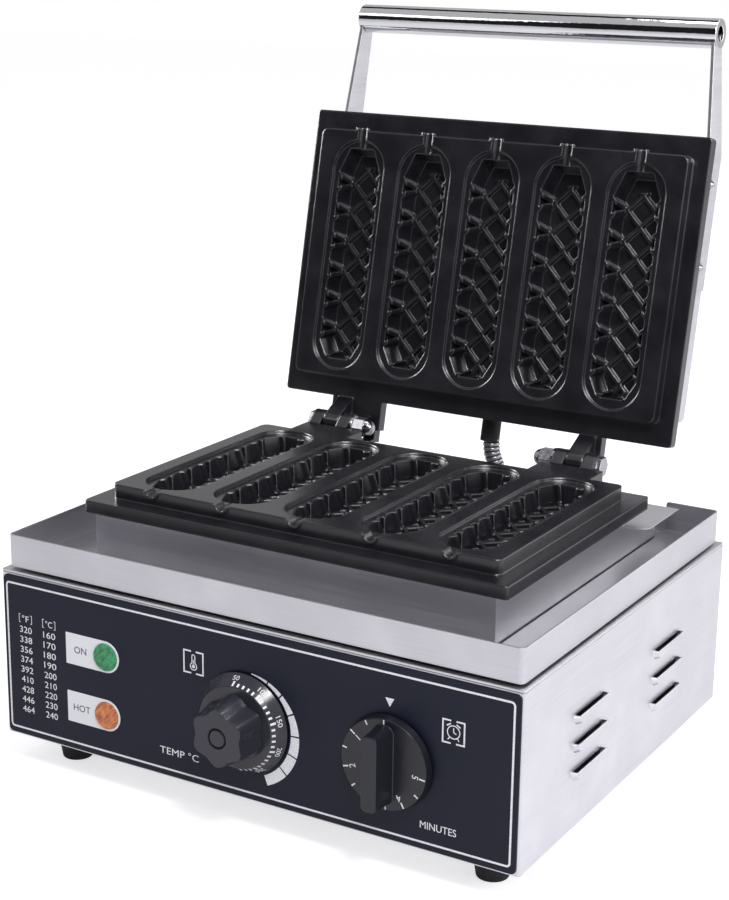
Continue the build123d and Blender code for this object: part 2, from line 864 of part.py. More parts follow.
def plate(face, block_w):
    """Casting with a flange, a block, a belly, cavities and stick lugs, from its face."""
    back = -(block_rise + flange_t)
    with BuildPart() as casting:
        with BuildSketch(face.offset(back)):
            with Locations((0, -hinge_setback - belly_setback - belly_d / 2)):
                RectangleRounded(belly_w, belly_d, block_corner_r)
        extrude(amount=-belly_t)
        with BuildSketch(face.offset(back)):
            with Locations((0, -hinge_setback - flange_d / 2)):
                RectangleRounded(flange_w, flange_d, flange_corner_r)
        extrude(amount=flange_t)
        with BuildSketch(face.offset(back)):
            with Locations((0, block_front + block_d / 2)):
                RectangleRounded(block_w, block_d, block_corner_r)
        extrude(amount=flange_t + block_rise)
        with BuildSketch(Plane(origin=face.from_local_coords((0, block_front, 0)),
                               x_dir=face.x_dir, z_dir=-face.y_dir)):
            with GridLocations(cavity_pitch, 0, cavity_count, 1):
                Circle(lug_r)
                Rectangle(2 * lug_r, lug_r, align=(Align.CENTER, Align.MIN),
                          mode=Mode.SUBTRACT)
        extrude(amount=lug_proud)
        for number in range(cavity_count):
            x = (number - (cavity_count - 1) / 2) * cavity_pitch
            cut = face * Pos(x, cavity_mid, 0) * cavity_space.part
            add(cut, mode=Mode.SUBTRACT)
    return casting.part


# Lower plate with its hinge brackets

def side_slab(plane, span, sketch_points):
    """Flat-sided slab across a span of x, with its outline given in v and w."""
    with BuildPart() as slab:
        with BuildSketch(plane.offset(span[0])):
            Polygon(*sketch_points, align=None)
        extrude(amount=span[1] - span[0])
    return slab.part


def ear_slab(plane, span, v, w_low, w_high):
    """Rounded ear round the hinge axis, drawn out to a straight root."""
    with BuildPart() as slab:
        with BuildSketch(plane.offset(span[0])):
            Circle(knuckle_r)
            with Locations((v, w_low)):
                Rectangle(fit_gap, w_high - w_low, align=(Align.MAX, Align.MIN))
            make_hull()
        extrude(amount=span[1] - span[0])
    return slab.part


def ear_spans(x):
    """Spans of the two ears beside a knuckle at x."""
    inner = knuckle_w / 2 + knuckle_gap
    return (x - inner - ear_t, x - inner), (x + inner, x + inner + ear_t)


bolt_hole = hinge_bolt_r + bore_clearance
flange_low = flange_z - hinge_z
bracket_pieces = []
for span in (left_web, right_web):
    web = [(-web_root, flange_low), (-web_back, flange_low),
           (-web_back, hinge_drop), (-web_root, hinge_drop)]
    bracket_pieces.append(side_slab(base_side, span, web))
for x in (left_hinge_x, right_hinge_x):
    for span in ear_spans(x):
        bracket_pieces.append(ear_slab(base_side, span, -web_back, flange_low, hinge_drop))
stop_w = upper_flange_w - seat_gap
stop_low = opened((stop_w * turn_cos - flange_low) / turn_sin, stop_w)
stop_high = opened((stop_w * turn_cos - flange_low - stop_lug_h) / turn_sin, stop_w)
stop_lug = [(-web_root, flange_low), stop_low, stop_high,
            (-web_root, flange_low + stop_lug_h)]
bracket_pieces.append(side_slab(base_side, tongue_x, stop_lug))

with BuildPart() as lower_plate:
    add(plate(lower_face, lower_block_w))
    add(bracket_pieces)
    with BuildSketch(base_side.offset(-flange_w / 2)):
        Circle(bolt_hole)
    extrude(amount=flange_w, mode=Mode.SUBTRACT)
save(lower_plate.part, "lower_plate")


# Hinge bolts, washers and acorn nuts, all belonging to the base

def hex_bolt(x, direction, length):
    """Hexagon head bolt whose head bears on x and whose shank runs in a direction."""
    bearing = Plane(origin=(x, hinge_y, hinge_z), x_dir=(0, 1, 0), z_dir=(direction, 0, 0))
    with BuildPart() as bolt:
        with BuildSketch(bearing):
            RegularPolygon(hinge_head_flats / 2, 6, major_radius=False)
        extrude(amount=-hinge_head_t)
        with BuildSketch(bearing):
            Circle(hinge_bolt_r)
        extrude(amount=length)
    return bolt.part


def acorn_nut(bearing, flats, hex_l, dome_r, dome_l, hole_r, hole_l):
    """Hexagon with a domed end, and a blind hole for the bolt."""
    with BuildPart() as nut:
        with BuildSketch(bearing):
            RegularPolygon(flats / 2, 6, major_radius=False)
        extrude(amount=hex_l)
        with BuildSketch(bearing.offset(hex_l)):
            Circle(dome_r)
        with BuildSketch(bearing.offset(hex_l + dome_l / 2)):
            Circle(dome_r * dome_mid_share)
        with BuildSketch(bearing.offset(hex_l + dome_l)):
            Circle(dome_r * dome_top_share)
        loft()
        with BuildSketch(bearing):
            Circle(hole_r)
        extrude(amount=hole_l, mode=Mode.SUBTRACT)
    return nut.part


stack = 2 * (ear_t + knuckle_gap) + knuckle_w
shank = stack + washer_t + nut_hex_l
for name, x, inward in (("left", left_hinge_x, 1), ("right", right_hinge_x, -1)):
    outer_x = x - inward * stack / 2
    inner_x = x + inward * stack / 2
    save(hex_bolt(outer_x, inward, shank), f"hinge_bolt_{name}")
    bearing = Plane(origin=(inner_x, hinge_y, hinge_z), x_dir=(0, 1, 0), z_dir=(inward, 0, 0))
    with BuildPart() as washer:
        with BuildSketch(bearing):
            Circle(washer_r)
            Circle(bolt_hole, mode=Mode.SUBTRACT)
        extrude(amount=washer_t)
    save(washer.part, f"hinge_washer_{name}")
    nut = acorn_nut(bearing.offset(washer_t), nut_flats, nut_hex_l, nut_dome_r, nut_dome_l,
                    bolt_hole, nut_hex_l + seat_gap)
    save(nut, f"hinge_nut_{name}")


# Upper plate with its arms, knuckles and stop tongue

def arm_slab(span, past):
    """Flat arm from the flange's rear edge to past the hinge axis."""
    outline = [(-hinge_setback - arm_root, upper_flange_w), (past, upper_flange_w),
               (past, upper_back_w), (-hinge_setback - arm_root, upper_back_w)]
    return side_slab(lid_side, span, outline)


arm_pieces = [arm_slab(left_arm, arm_past_axis), arm_slab(right_arm, arm_past_axis),
              arm_slab(tongue_x, tongue_past_axis)]
for x in (left_hinge_x, right_hinge_x):
    span = (x - knuckle_w / 2, x + knuckle_w / 2)
    arm_pieces.append(ear_slab(lid_side, span, -hinge_setback, upper_flange_w, upper_back_w))

with BuildPart() as upper_plate:
    add(plate(upper_face, upper_block_w))
    add(arm_pieces)
    with BuildSketch(lid_side.offset(-flange_w / 2)):
        Circle(bolt_hole)
    extrude(amount=flange_w, mode=Mode.SUBTRACT)
save(upper_plate.part, "upper_plate")


# Heaters behind both plates, and the sheet shields that hold them

def heater(plane):
    """Tubular element bent to a C behind a plate, with a pin at each end."""
    route = [
        (-heater_end_x, -heater_end),
        (-heater_end_x, -heater_back),
        (-heater_half_w, -heater_back),
        (-heater_half_w, -heater_front),
        (heater_half_w, -heater_front),
        (heater_half_w, -heater_back),
        (heater_end_x, -heater_back),
        (heater_end_x, -heater_end),
    ]
    radii = [heater_end_bend_r] + [heater_bend_r] * 4 + [heater_end_bend_r]
    with BuildPart() as element:
        with BuildLine(plane):
            path = FilletPolyline(*route, radius=radii)
        with BuildSketch(Plane(origin=path @ 0, z_dir=path % 0)):
            Circle(heater_r)
        sweep(path=path)
        for end, way in ((0, -1), (1, 1)):
            with BuildSketch(Plane(origin=path @ end, z_dir=(path % end) * way)):
                Circle(heater_pin_r)
            extrude(amount=heater_pin_l)
    return element.part


def shield(plane, width, depth, v_front, way):
    """Shallow pan: a flat sheet with skirts turned away from the plate."""
    with BuildPart() as pan:
        with BuildSketch(plane):
            with Locations((0, v_front)):
                RectangleRounded(width, depth, shield_corner_r,
                                 align=(Align.CENTER, Align.MIN))
        extrude(amount=way * shield_skirt)
        with BuildSketch(plane.offset(way * shield_t)):
            with Locations((0, v_front + shield_t)):
                RectangleRounded(width - 2 * shield_t, depth - 2 * shield_t,
                                 shield_corner_r - shield_t,
                                 align=(Align.CENTER, Align.MIN))
        extrude(amount=way * shield_skirt, mode=Mode.SUBTRACT)
    return pan.part


heater_drop = belly_t + fit_gap + heater_r
shield_drop = heater_drop + heater_r + fit_gap
base_back = base_hinge.offset(flange_low)
save(heater(base_back.offset(-heater_drop)), "lower_heater")
save(heater(lid.offset(upper_back_w + heater_drop)), "upper_heater")

lower_shield_w = housing_w - 2 * (sheet_t + seat_gap)
lower_shield_d = housing_step - 2 * (sheet_t + seat_gap)
lower_shield_v = housing_y + sheet_t + seat_gap - hinge_y
with BuildPart() as lower_shield:
    add(shield(base_back.offset(-shield_drop), lower_shield_w, lower_shield_d, lower_shield_v, -1))
    with BuildSketch(base_back.offset(-shield_drop)):
        with Locations((0, -capillary_drop)):
            Circle(capillary_hole_r)
    extrude(amount=-shield_skirt, mode=Mode.SUBTRACT)
save(lower_shield.part, "lower_shield")

cover_front_v = -(cover_setback + cover_d)
upper_shield_w = cover_w - 2 * (sheet_t + arm_bolt_head_t + seat_gap)
upper_shield_d = cover_d - 2 * (sheet_t + seat_gap) - sleeve_flange_t - seat_gap
save(shield(lid.offset(upper_back_w + shield_drop), upper_shield_w, upper_shield_d,
            cover_front_v + sheet_t + seat_gap, 1), "upper_shield")

# Thermostat bulb against the lower plate, and its capillary to the body
bulb_z = flange_z - belly_t - fit_gap - bulb_r
capillary_y = front_y + sheet_t + thermostat_d / 2
thermostat_top = knob_z + thermostat_h / 2
with BuildPart() as thermostat_bulb:
    with BuildSketch(Plane.XZ.offset(-(hinge_y - bulb_back))):
        with Locations((0, bulb_z)):
            Circle(bulb_r)
    extrude(amount=bulb_front - bulb_back)
    with BuildLine():
        capillary = FilletPolyline(
            (0, hinge_y - bulb_back, bulb_z),
            (0, hinge_y - capillary_drop, bulb_z),
            (0, hinge_y - capillary_drop, capillary_z),
            (thermostat_x, capillary_y, capillary_z),
            (thermostat_x, capillary_y, thermostat_top),
            radius=capillary_bend_r)
    with BuildSketch(Plane(origin=capillary @ 0, z_dir=capillary % 0)):
        Circle(capillary_r)
    sweep(path=capillary)
save(thermostat_bulb.part, "thermostat_bulb")


# Lid cover

sleeve_hole_r = sleeve_r + fit_gap
with BuildPart() as lid_cover:
    with BuildSketch(lid.offset(upper_back_w)):
        with Locations((0, cover_front_v + cover_d / 2)):
            RectangleRounded(cover_w, cover_d, cover_corner_r)
    extrude(amount=cover_h)
    lid_up = Axis(lid.origin, lid.z_dir)
    fillet(faces().sort_by(lid_up)[-1].edges(), cover_edge_r)
    offset(amount=-sheet_t, openings=faces().sort_by(lid_up)[0])
    with BuildSketch(Plane(origin=lid.from_local_coords((0, -cover_setback, 0)),
                           x_dir=(1, 0, 0), z_dir=-lid.y_dir)):
        with Locations((conduit_x, conduit_rise)):
            Circle(sleeve_hole_r)
    extrude(amount=2 * sheet_t, both=True, mode=Mode.SUBTRACT)
    for reach in arm_bolt_reaches:
        with BuildSketch(lid_side.offset(-cover_w)):
            with Locations((-reach, arm_bolt_rise)):
                Circle(arm_bolt_r + bore_clearance)
        extrude(amount=2 * cover_w, mode=Mode.SUBTRACT)
save(lid_cover.part, "lid_cover")


# Handle straps, the tube with its end caps, and the bolts

def strap(side):
    """Flat strap bolted to the cover, bent inwards and narrowed to the tube."""
    wall_x = cover_w / 2 + strap_t / 2
    tip_v = -(handle_reach - handle_r + strap_tip_gap)
    with BuildPart() as bar:
        with BuildLine(lid.offset(strap_rise + strap_w / 2)):
            path = FilletPolyline(
                (side * wall_x, -strap_back),
                (side * wall_x, -strap_bend),
                (side * strap_bar_x, tip_v),
                radius=strap_bend_r)
        with BuildSketch(Plane(origin=path @ 0, x_dir=(1, 0, 0), z_dir=path % 0)):
            Rectangle(strap_t, strap_w)
        sweep(path=path)
        with BuildSketch(lid_side.offset(-cover_w)):
            Polygon(
                (-strap_back + overrun, strap_rise),
                (-strap_back + overrun, strap_rise + strap_w),
                (-strap_bend, strap_rise + strap_w),
                (tip_v - overrun, handle_rise + strap_tip_w / 2),
                (tip_v - overrun, handle_rise - strap_tip_w / 2),
                (-strap_bend, strap_neck_rise),
                (-strap_shoulder, strap_rise),
                align=None)
        extrude(amount=2 * cover_w, mode=Mode.INTERSECT)
        for reach in arm_bolt_reaches:
            with BuildSketch(lid_side.offset(-cover_w)):
                with Locations((-reach, arm_bolt_rise)):
                    Circle(arm_bolt_r + bore_clearance)
            extrude(amount=2 * cover_w, mode=Mode.SUBTRACT)
    return bar.part


for name, side in (("left", -1), ("right", 1)):
    save(strap(side), f"handle_strap_{name}")

with BuildPart() as handle_tube:
    with BuildSketch(lid_side.offset(-handle_l / 2)):
        with Locations((-handle_reach, handle_rise)):
            Circle(handle_r)
    extrude(amount=handle_l)
    with BuildSketch(lid_side.offset(-handle_l / 2)):
        with Locations((-handle_reach, handle_rise)):
            Circle(handle_cap_hole_r)
    extrude(amount=handle_l, mode=Mode.SUBTRACT)
    with BuildSketch(lid_side.offset(-handle_l / 2 + handle_cap_t)):
        with Locations((-handle_reach, handle_rise)):
            Circle(handle_r - handle_wall)
    extrude(amount=handle_l - 2 * handle_cap_t, mode=Mode.SUBTRACT)
    slot_top = Plane(origin=lid.from_local_coords((0, -handle_reach, handle_rise)),
                     x_dir=(1, 0, 0), z_dir=lid.y_dir)
    with BuildSketch(slot_top):
        with GridLocations(2 * strap_bar_x, 0, 2, 1):
            Rectangle(strap_t + 2 * fit_gap, strap_tip_w + 2 * fit_gap)
    extrude(amount=handle_r + overrun, mode=Mode.SUBTRACT)
save(handle_tube.part, "handle_tube")

for name, side in (("left", -1), ("right", 1)):
    for place, reach in zip(("front", "rear"), arm_bolt_reaches):
        wall_in = cover_w / 2 - sheet_t
        inside = Plane(origin=lid_side.from_local_coords((-reach, arm_bolt_rise, side * wall_in)),
                       x_dir=lid.y_dir, z_dir=(side, 0, 0))
        outside = inside.offset(sheet_t + strap_t)
        with BuildPart() as arm_bolt:
            with BuildSketch(inside):
                Circle(arm_bolt_head_r)
            extrude(amount=-arm_bolt_head_t)
            with BuildSketch(inside):
                Circle(arm_bolt_r)
            extrude(amount=sheet_t + strap_t)
            with BuildSketch(outside):
                RegularPolygon(arm_nut_flats / 2, 6, major_radius=False)
            extrude(amount=arm_nut_hex_l)
            with BuildSketch(outside.offset(arm_nut_hex_l)):
                Circle(arm_nut_dome_r)
            with BuildSketch(outside.offset(arm_nut_hex_l + arm_nut_dome_l)):
                Circle(arm_nut_dome_r * dome_top_share)
            loft()
        save(arm_bolt.part, f"strap_bolt_{name}_{place}")


# Conduit with its sleeve at the lid

sleeve_wall = Plane(origin=lid.from_local_coords((0, -cover_setback, 0)),
                    x_dir=(1, 0, 0), z_dir=-lid.y_dir)
with BuildPart() as conduit_sleeve:
    with BuildSketch(sleeve_wall.offset(sheet_t + sleeve_flange_t)):
        with Locations((conduit_x, conduit_rise)):
            Circle(sleeve_r)
    extrude(amount=-(sheet_t + sleeve_flange_t + sleeve_l))
    with BuildSketch(sleeve_wall.offset(sheet_t)):
        with Locations((conduit_x, conduit_rise)):
            Circle(sleeve_flange_r)
    extrude(amount=sleeve_flange_t)
    with BuildSketch(sleeve_wall.offset(sheet_t + sleeve_flange_t)):
        with Locations((conduit_x, conduit_rise)):
            Circle(sleeve_bore_r)
    extrude(amount=-(sheet_t + sleeve_flange_t + sleeve_l), mode=Mode.SUBTRACT)
save(conduit_sleeve.part, "conduit_sleeve")

runs = [Vector(b) - Vector(a) for a, b in zip(conduit_route, conduit_route[1:])]
radius_share = 0.45
bend_radii = []
for before, after in zip(runs, runs[1:]):
    half_turn = radians(before.get_angle(after)) / 2
    bend_radii.append(radius_share * min(before.length, after.length) / tan(half_turn))
conduit_path = FilletPolyline(*conduit_route, radius=bend_radii)
rib_count = int(conduit_path.length / conduit_rib_pitch)
print("conduit radii", [round(radius, 1) for radius in bend_radii])
print("conduit length", round(conduit_path.length, 1), "ribs", rib_count)


def conduit_circle(share, radius):
    """Circle square to the conduit's route, on a steady Y axis."""
    plane = Plane(origin=conduit_path @ share, x_dir=(0, 1, 0), z_dir=conduit_path % share)
    return Wire(plane * Edge.make_circle(radius))


rib_radii = (conduit_root_r, conduit_crest_r, conduit_crest_r, conduit_root_r)
stations = []
for rib in range(rib_count):
    for rib_share, radius in zip(conduit_rib_shares, rib_radii):
        stations.append(((rib + rib_share) / rib_count, radius))
stations.append((1.0, conduit_root_r))
outer = Solid.make_loft([conduit_circle(share, radius) for share, radius in stations], ruled=True)
bore = Solid.make_loft([conduit_circle(share, conduit_bore_r) for share, _ in stations], ruled=True)
with BuildPart() as conduit:
    add(outer)
    add(bore, mode=Mode.SUBTRACT)
save(conduit.part, "conduit")
print("conduit volume", round(conduit.part.volume))
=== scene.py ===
from math import cos, pi, radians, sin

import bpy
import numpy as np
from mathutils import Matrix, Vector


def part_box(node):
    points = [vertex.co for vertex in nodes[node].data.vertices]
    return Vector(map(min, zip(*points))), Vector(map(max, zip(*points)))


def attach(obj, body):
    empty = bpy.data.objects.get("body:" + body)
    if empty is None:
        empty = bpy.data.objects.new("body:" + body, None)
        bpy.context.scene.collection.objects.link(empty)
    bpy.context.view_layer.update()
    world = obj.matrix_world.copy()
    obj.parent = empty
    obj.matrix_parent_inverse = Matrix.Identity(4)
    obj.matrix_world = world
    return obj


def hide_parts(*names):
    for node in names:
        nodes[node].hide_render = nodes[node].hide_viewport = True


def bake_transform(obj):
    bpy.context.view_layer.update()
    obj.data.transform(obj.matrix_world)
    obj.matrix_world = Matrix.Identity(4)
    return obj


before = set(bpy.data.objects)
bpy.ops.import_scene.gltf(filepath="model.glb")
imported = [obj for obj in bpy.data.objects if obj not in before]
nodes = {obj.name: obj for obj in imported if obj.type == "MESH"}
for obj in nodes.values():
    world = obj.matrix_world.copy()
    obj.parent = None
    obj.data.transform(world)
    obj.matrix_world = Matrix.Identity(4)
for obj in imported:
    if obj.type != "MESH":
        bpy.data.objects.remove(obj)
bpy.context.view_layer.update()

# The camera stands in front of the machine and to its right, and looks down on it a
# little. Its place and lens come from the edges of the casing, deck and plates.
camera_place = Vector((0.6068, -1.05906, 0.5501))
camera_turn = radians(30.64)
camera_fall = radians(15.82)
camera_roll = radians(0.71)
camera_lens = 75.59
camera_data = bpy.data.cameras.new("camera")
camera_data.lens = camera_lens
camera_back = Vector((sin(camera_turn) * cos(camera_fall),
                      -cos(camera_turn) * cos(camera_fall), sin(camera_fall)))
level_right = (-camera_back).cross(Vector((0, 0, 1))).normalized()
level_up = level_right.cross(-camera_back)
camera_right = level_right * cos(camera_roll) + level_up * sin(camera_roll)
camera_up = level_up * cos(camera_roll) - level_right * sin(camera_roll)
camera = bpy.data.objects.new("camera", camera_data)
camera.matrix_world = (Matrix.Translation(camera_place)
                       @ Matrix((camera_right, camera_up, camera_back)).transposed().to_4x4())
bpy.context.scene.collection.objects.link(camera)
bpy.context.scene.camera = camera


# The conduit is a flexible steel hose that carries the wires of the lid's heater. Rolled
# strip makes its ribs; it leaves the lid through a sleeve and enters a gland at the rear.
hose_route = [
    (0.0075, 0.1385, 0.2123),
    (0.0077, 0.1312, 0.1800),
    (0.0125, 0.1325, 0.1640),
    (0.0190, 0.1400, 0.1400),
    (0.0265, 0.1490, 0.1030),
    (0.0410, 0.1520, 0.0705),
    (0.0670, 0.1520, 0.0475),
    (0.0985, 0.1500, 0.0385),
    (0.1280, 0.1500, 0.0385),
]
hose_crest_r = 0.0062
hose_root_r = 0.0053
hose_bore_r = 0.0043
hose_pitch = 0.0032
hose_steps = 12
hose_sides = 40
hose_crest_flatness = 0.4


def linear(hex_colour):
    """Linear RGBA of an sRGB hex colour."""
    parts = [int(hex_colour[place:place + 2], 16) / 255 for place in (1, 3, 5)]
    return (*(part / 12.92 if part <= 0.04045 else ((part + 0.055) / 1.055) ** 2.4
              for part in parts), 1.0)


def new_finish(name, values):
    """New material, with plain values set on the sockets of its Principled shader."""
    material = bpy.data.materials.new(name)
    material.use_nodes = True
    for socket, value in values.items():
        material.node_tree.nodes["Principled BSDF"].inputs[socket].default_value = value
    return material


def add_node(material, kind, inputs=None, **settings):
    """Add a node to a tree, with its settings and with values or links for its inputs."""
    tree = material.node_tree
    node = tree.nodes.new(kind)
    for name, value in settings.items():
        setattr(node, name, value)
    for name, value in (inputs or {}).items():
        if isinstance(value, bpy.types.NodeSocket):
            tree.links.new(value, node.inputs[name])
        else:
            node.inputs[name].default_value = value
    return node


def feed(material, outputs):
    """Link node outputs to the named sockets of a material's Principled shader."""
    shader = material.node_tree.nodes["Principled BSDF"]
    for socket, output in outputs.items():
        material.node_tree.links.new(output, shader.inputs[socket])


def new_piece(name, points, faces, material):
    """Object at the origin with the given points and faces, shaded smooth."""
    mesh = bpy.data.meshes.new(name)
    mesh.from_pydata(np.asarray(points).tolist(), [], [tuple(face) for face in faces])
    mesh.polygons.foreach_set("use_smooth", np.ones(len(mesh.polygons), dtype=bool))
    mesh.materials.append(material)
    mesh.update()
    piece = bpy.data.objects.new(name, mesh)
    bpy.context.scene.collection.objects.link(piece)
    return piece


def smooth_line(route):
    """Points along the NURBS spline of order 3 whose control points are the route."""
    curve = bpy.data.curves.new("route", "CURVE")
    curve.dimensions = "3D"
    spline = curve.splines.new("NURBS")
    spline.points.add(len(route) - 1)
    for control, place in zip(spline.points, route):
        control.co = (*place, 1.0)
    spline.order_u = 3
    spline.use_endpoint_u = True
    spline.resolution_u = 24
    holder = bpy.data.objects.new("route", curve)
    bpy.context.scene.collection.objects.link(holder)
    mesh = bpy.data.meshes.new_from_object(holder)
    line = np.empty(3 * len(mesh.vertices))
    mesh.vertices.foreach_get("co", line)
    bpy.data.objects.remove(holder)
    bpy.data.meshes.remove(mesh)
    bpy.data.curves.remove(curve)
    return line.reshape(-1, 3)


def along(line, distances):
    """Points at the given distances along a line of points, and the directions there."""
    steps = np.linalg.norm(np.diff(line, axis=0), axis=1)
    reach = np.concatenate(([0.0], np.cumsum(steps)))
    centres = np.stack([np.interp(distances, reach, line[:, axis]) for axis in range(3)], axis=1)
    ways = np.gradient(centres, axis=0)
    return centres, ways / np.linalg.norm(ways, axis=1, keepdims=True)


def closed_grid_faces(rows, columns):
    """Quads of a grid of points that closes on itself both ways, like a ring."""
    row, column = np.meshgrid(np.arange(rows), np.arange(columns), indexing="ij")
    next_row = (row + 1) % rows
    next_column = (column + 1) % columns
    corners = [row * columns + column, row * columns + next_column,
               next_row * columns + next_column, next_row * columns + column]
    return np.stack(corners, axis=-1).reshape(-1, 4)


hose_line = smooth_line(hose_route)
hose_length = float(np.linalg.norm(np.diff(hose_line, axis=0), axis=1).sum())
hose_ribs = int(hose_length / hose_pitch)
# Around the hose, u turns once; along it, v counts ribs. The wall goes out along the
# outside, where the radius follows a flattened wave, and back along the plain bore.
outside_v = np.linspace(0, hose_ribs, hose_ribs * hose_steps + 1)
bore_v = np.linspace(hose_ribs, 0, hose_ribs + 1)
rib_rise = (0.5 - 0.5 * np.cos(2 * pi * outside_v)) ** hose_crest_flatness
wall_v = np.concatenate((outside_v, bore_v))
wall_r = np.concatenate((hose_root_r + (hose_crest_r - hose_root_r) * rib_rise,
                         np.full(len(bore_v), hose_bore_r)))
centres, ways = along(hose_line, outside_v / hose_ribs * hose_length)
bore_centres, bore_ways = along(hose_line, np.linspace(0, hose_length, hose_ribs + 1))
centres = np.concatenate((centres, bore_centres[::-1]))
ways = np.concatenate((ways, bore_ways[::-1]))
across = np.array([1.0, 0.0, 0.0]) - ways * ways[:, :1]
across /= np.linalg.norm(across, axis=1, keepdims=True)
upright = np.cross(ways, across)
hose_u = np.linspace(0, 2 * pi, hose_sides, endpoint=False)
hose_points = centres[:, None] + wall_r[:, None, None] * (
    np.cos(hose_u)[None, :, None] * across[:, None]
    + np.sin(hose_u)[None, :, None] * upright[:, None])

# Galvanised strip, rolled and interlocked: grey crests and dull grooves, the grooves darkened by
# painted shade and the whole by a little random smut
hose_finish = new_finish("rolled_galvanised_strip", {"Metallic": 1.0})
hose_groove = add_node(hose_finish, "ShaderNodeAttribute", attribute_name="groove")
hose_place = add_node(hose_finish, "ShaderNodeTexCoord")
hose_smut = add_node(hose_finish, "ShaderNodeTexNoise",
                     {"Vector": hose_place.outputs["Object"], "Scale": 260.0, "Detail": 4.0})
# Painted shade: colour darkens and gloss dulls towards the grooves, with random smut added
hose_smut_and_groove_shade = add_node(hose_finish, "ShaderNodeMath",
                     {0: hose_smut.outputs["Fac"], 1: 0.35, 2: hose_groove.outputs["Fac"]},
                     operation="MULTIPLY_ADD")
hose_tint = add_node(hose_finish, "ShaderNodeValToRGB", {"Fac": hose_smut_and_groove_shade.outputs["Value"]})
hose_tint.color_ramp.elements[0].position = 0.15
hose_tint.color_ramp.elements[0].color = linear("#a9a8ac")
hose_tint.color_ramp.elements[1].position = 1.0
hose_tint.color_ramp.elements[1].color = linear("#2c2b2e")
hose_rough = add_node(hose_finish, "ShaderNodeMapRange",
                      {"Value": hose_smut_and_groove_shade.outputs["Value"], "To Min": 0.24, "To Max": 0.55})
feed(hose_finish, {"Base Color": hose_tint.outputs["Color"],
                   "Roughness": hose_rough.outputs["Result"]})

conduit = new_piece("ribbed_conduit", hose_points.reshape(-1, 3),
                    closed_grid_faces(len(wall_v), hose_sides), hose_finish)
# The groove mask is 1 in the grooves, where the colour takes its painted shade
groove = np.repeat(np.concatenate((1 - rib_rise, np.ones(len(bore_v)))), hose_sides)
conduit.data.attributes.new("groove", "FLOAT", "POINT").data.foreach_set(
    "value", groove.astype(np.float32))
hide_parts("conduit")
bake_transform(conduit)


# The casing is bent from one stainless sheet that is brushed along its length, with
# louvres pressed out of both sides; a rear panel, a bottom plate and a deck close it.
sheet_edge = 0.0003
fold_angle = radians(30)
flat_angle = radians(0.4)
brush_depth = 0.00003


def coat_node(name, material):
    """Give a CAD node one finish, smooth shading and joined points; return the node."""
    node = nodes[name]
    node.data.materials.clear()
    node.data.materials.append(material)
    node.data.polygons.foreach_set("material_index",
                                   np.zeros(len(node.data.polygons), dtype=np.int32))
    node.data.polygons.foreach_set("use_smooth", np.ones(len(node.data.polygons), dtype=bool))
    if "custom_normal" in node.data.attributes:
        node.data.attributes.remove(node.data.attributes["custom_normal"])
    weld = node.modifiers.new("weld", "WELD")
    weld.merge_threshold = 1e-6
    return node


def dress(names, material, edge):
    """Give CAD nodes a finish, and round their sharp edges with a small bevel."""
    for name in names:
        node = coat_node(name, material)
        join_flats = node.modifiers.new("join_flats", "DECIMATE")
        join_flats.decimate_type = "DISSOLVE"
        join_flats.angle_limit = flat_angle
        round_edges = node.modifiers.new("round_edges", "BEVEL")
        round_edges.width = edge
        round_edges.segments = 2
        round_edges.limit_method = "ANGLE"
        round_edges.angle_limit = fold_angle
        round_edges.harden_normals = True
        round_edges.use_clamp_overlap = False


def brushed_steel(name, tint, dull_tint, roughness, line_depth):
    """Stainless sheet with brush lines that run along X, and along Y on side faces."""
    # Real brush lines are about 0.1 mm apart; drawn about 1 mm apart, they still show
    material = new_finish(name, {"Metallic": 1.0})
    place = add_node(material, "ShaderNodeTexCoord")
    facing = add_node(material, "ShaderNodeSeparateXYZ", {"Vector": place.outputs["Normal"]})
    sideways = add_node(material, "ShaderNodeMath", {0: facing.outputs["X"]}, operation="ABSOLUTE")
    is_side = add_node(material, "ShaderNodeMath", {0: sideways.outputs["Value"], 1: 0.7},
                       operation="GREATER_THAN")
    brush = []
    for stretch in ((14.0, 900.0, 900.0), (900.0, 14.0, 900.0)):
        spread = add_node(material, "ShaderNodeMapping",
                          {"Vector": place.outputs["Object"], "Scale": stretch})
        brush.append(add_node(material, "ShaderNodeTexNoise",
                              {"Vector": spread.outputs["Vector"], "Scale": 1.0, "Detail": 3.0}))
    lines = add_node(material, "ShaderNodeMix",
                     {"Factor": is_side.outputs["Value"], "A": brush[0].outputs["Fac"],
                      "B": brush[1].outputs["Fac"]})
    # Handling leaves faint cloudy patches about 40 mm across
    clouds = add_node(material, "ShaderNodeTexNoise",
                      {"Vector": place.outputs["Object"], "Scale": 24.0, "Detail": 2.0})
    shade = add_node(material, "ShaderNodeMix",
                     {"Factor": clouds.outputs["Fac"], "A": lines.outputs["Result"],
                      "B": clouds.outputs["Fac"]})
    colour = add_node(material, "ShaderNodeValToRGB", {"Fac": shade.outputs["Result"]})
    colour.color_ramp.elements[0].position = 0.3
    colour.color_ramp.elements[0].color = linear(dull_tint)
    colour.color_ramp.elements[1].position = 0.7
    colour.color_ramp.elements[1].color = linear(tint)
    rough = add_node(material, "ShaderNodeMapRange",
                     {"Value": lines.outputs["Result"], "From Min": 0.25, "From Max": 0.75,
                      "To Min": roughness - 0.05, "To Max": roughness + 0.07})
    relief = add_node(material, "ShaderNodeBump",
                      {"Height": lines.outputs["Result"], "Strength": 0.35, "Distance": line_depth})
    feed(material, {"Base Color": colour.outputs["Color"], "Roughness": rough.outputs["Result"],
                    "Normal": relief.outputs["Normal"]})
    return material


# Austenitic stainless sheet, brushed: light neutral grey with soft, stretched reflections
casing_steel = brushed_steel("brushed_stainless_sheet", "#dcdbe0", "#cac9cf", 0.34,
                             brush_depth)
dress(["casing", "rear_panel", "bottom_plate", "deck_plate"], casing_steel, sheet_edge)


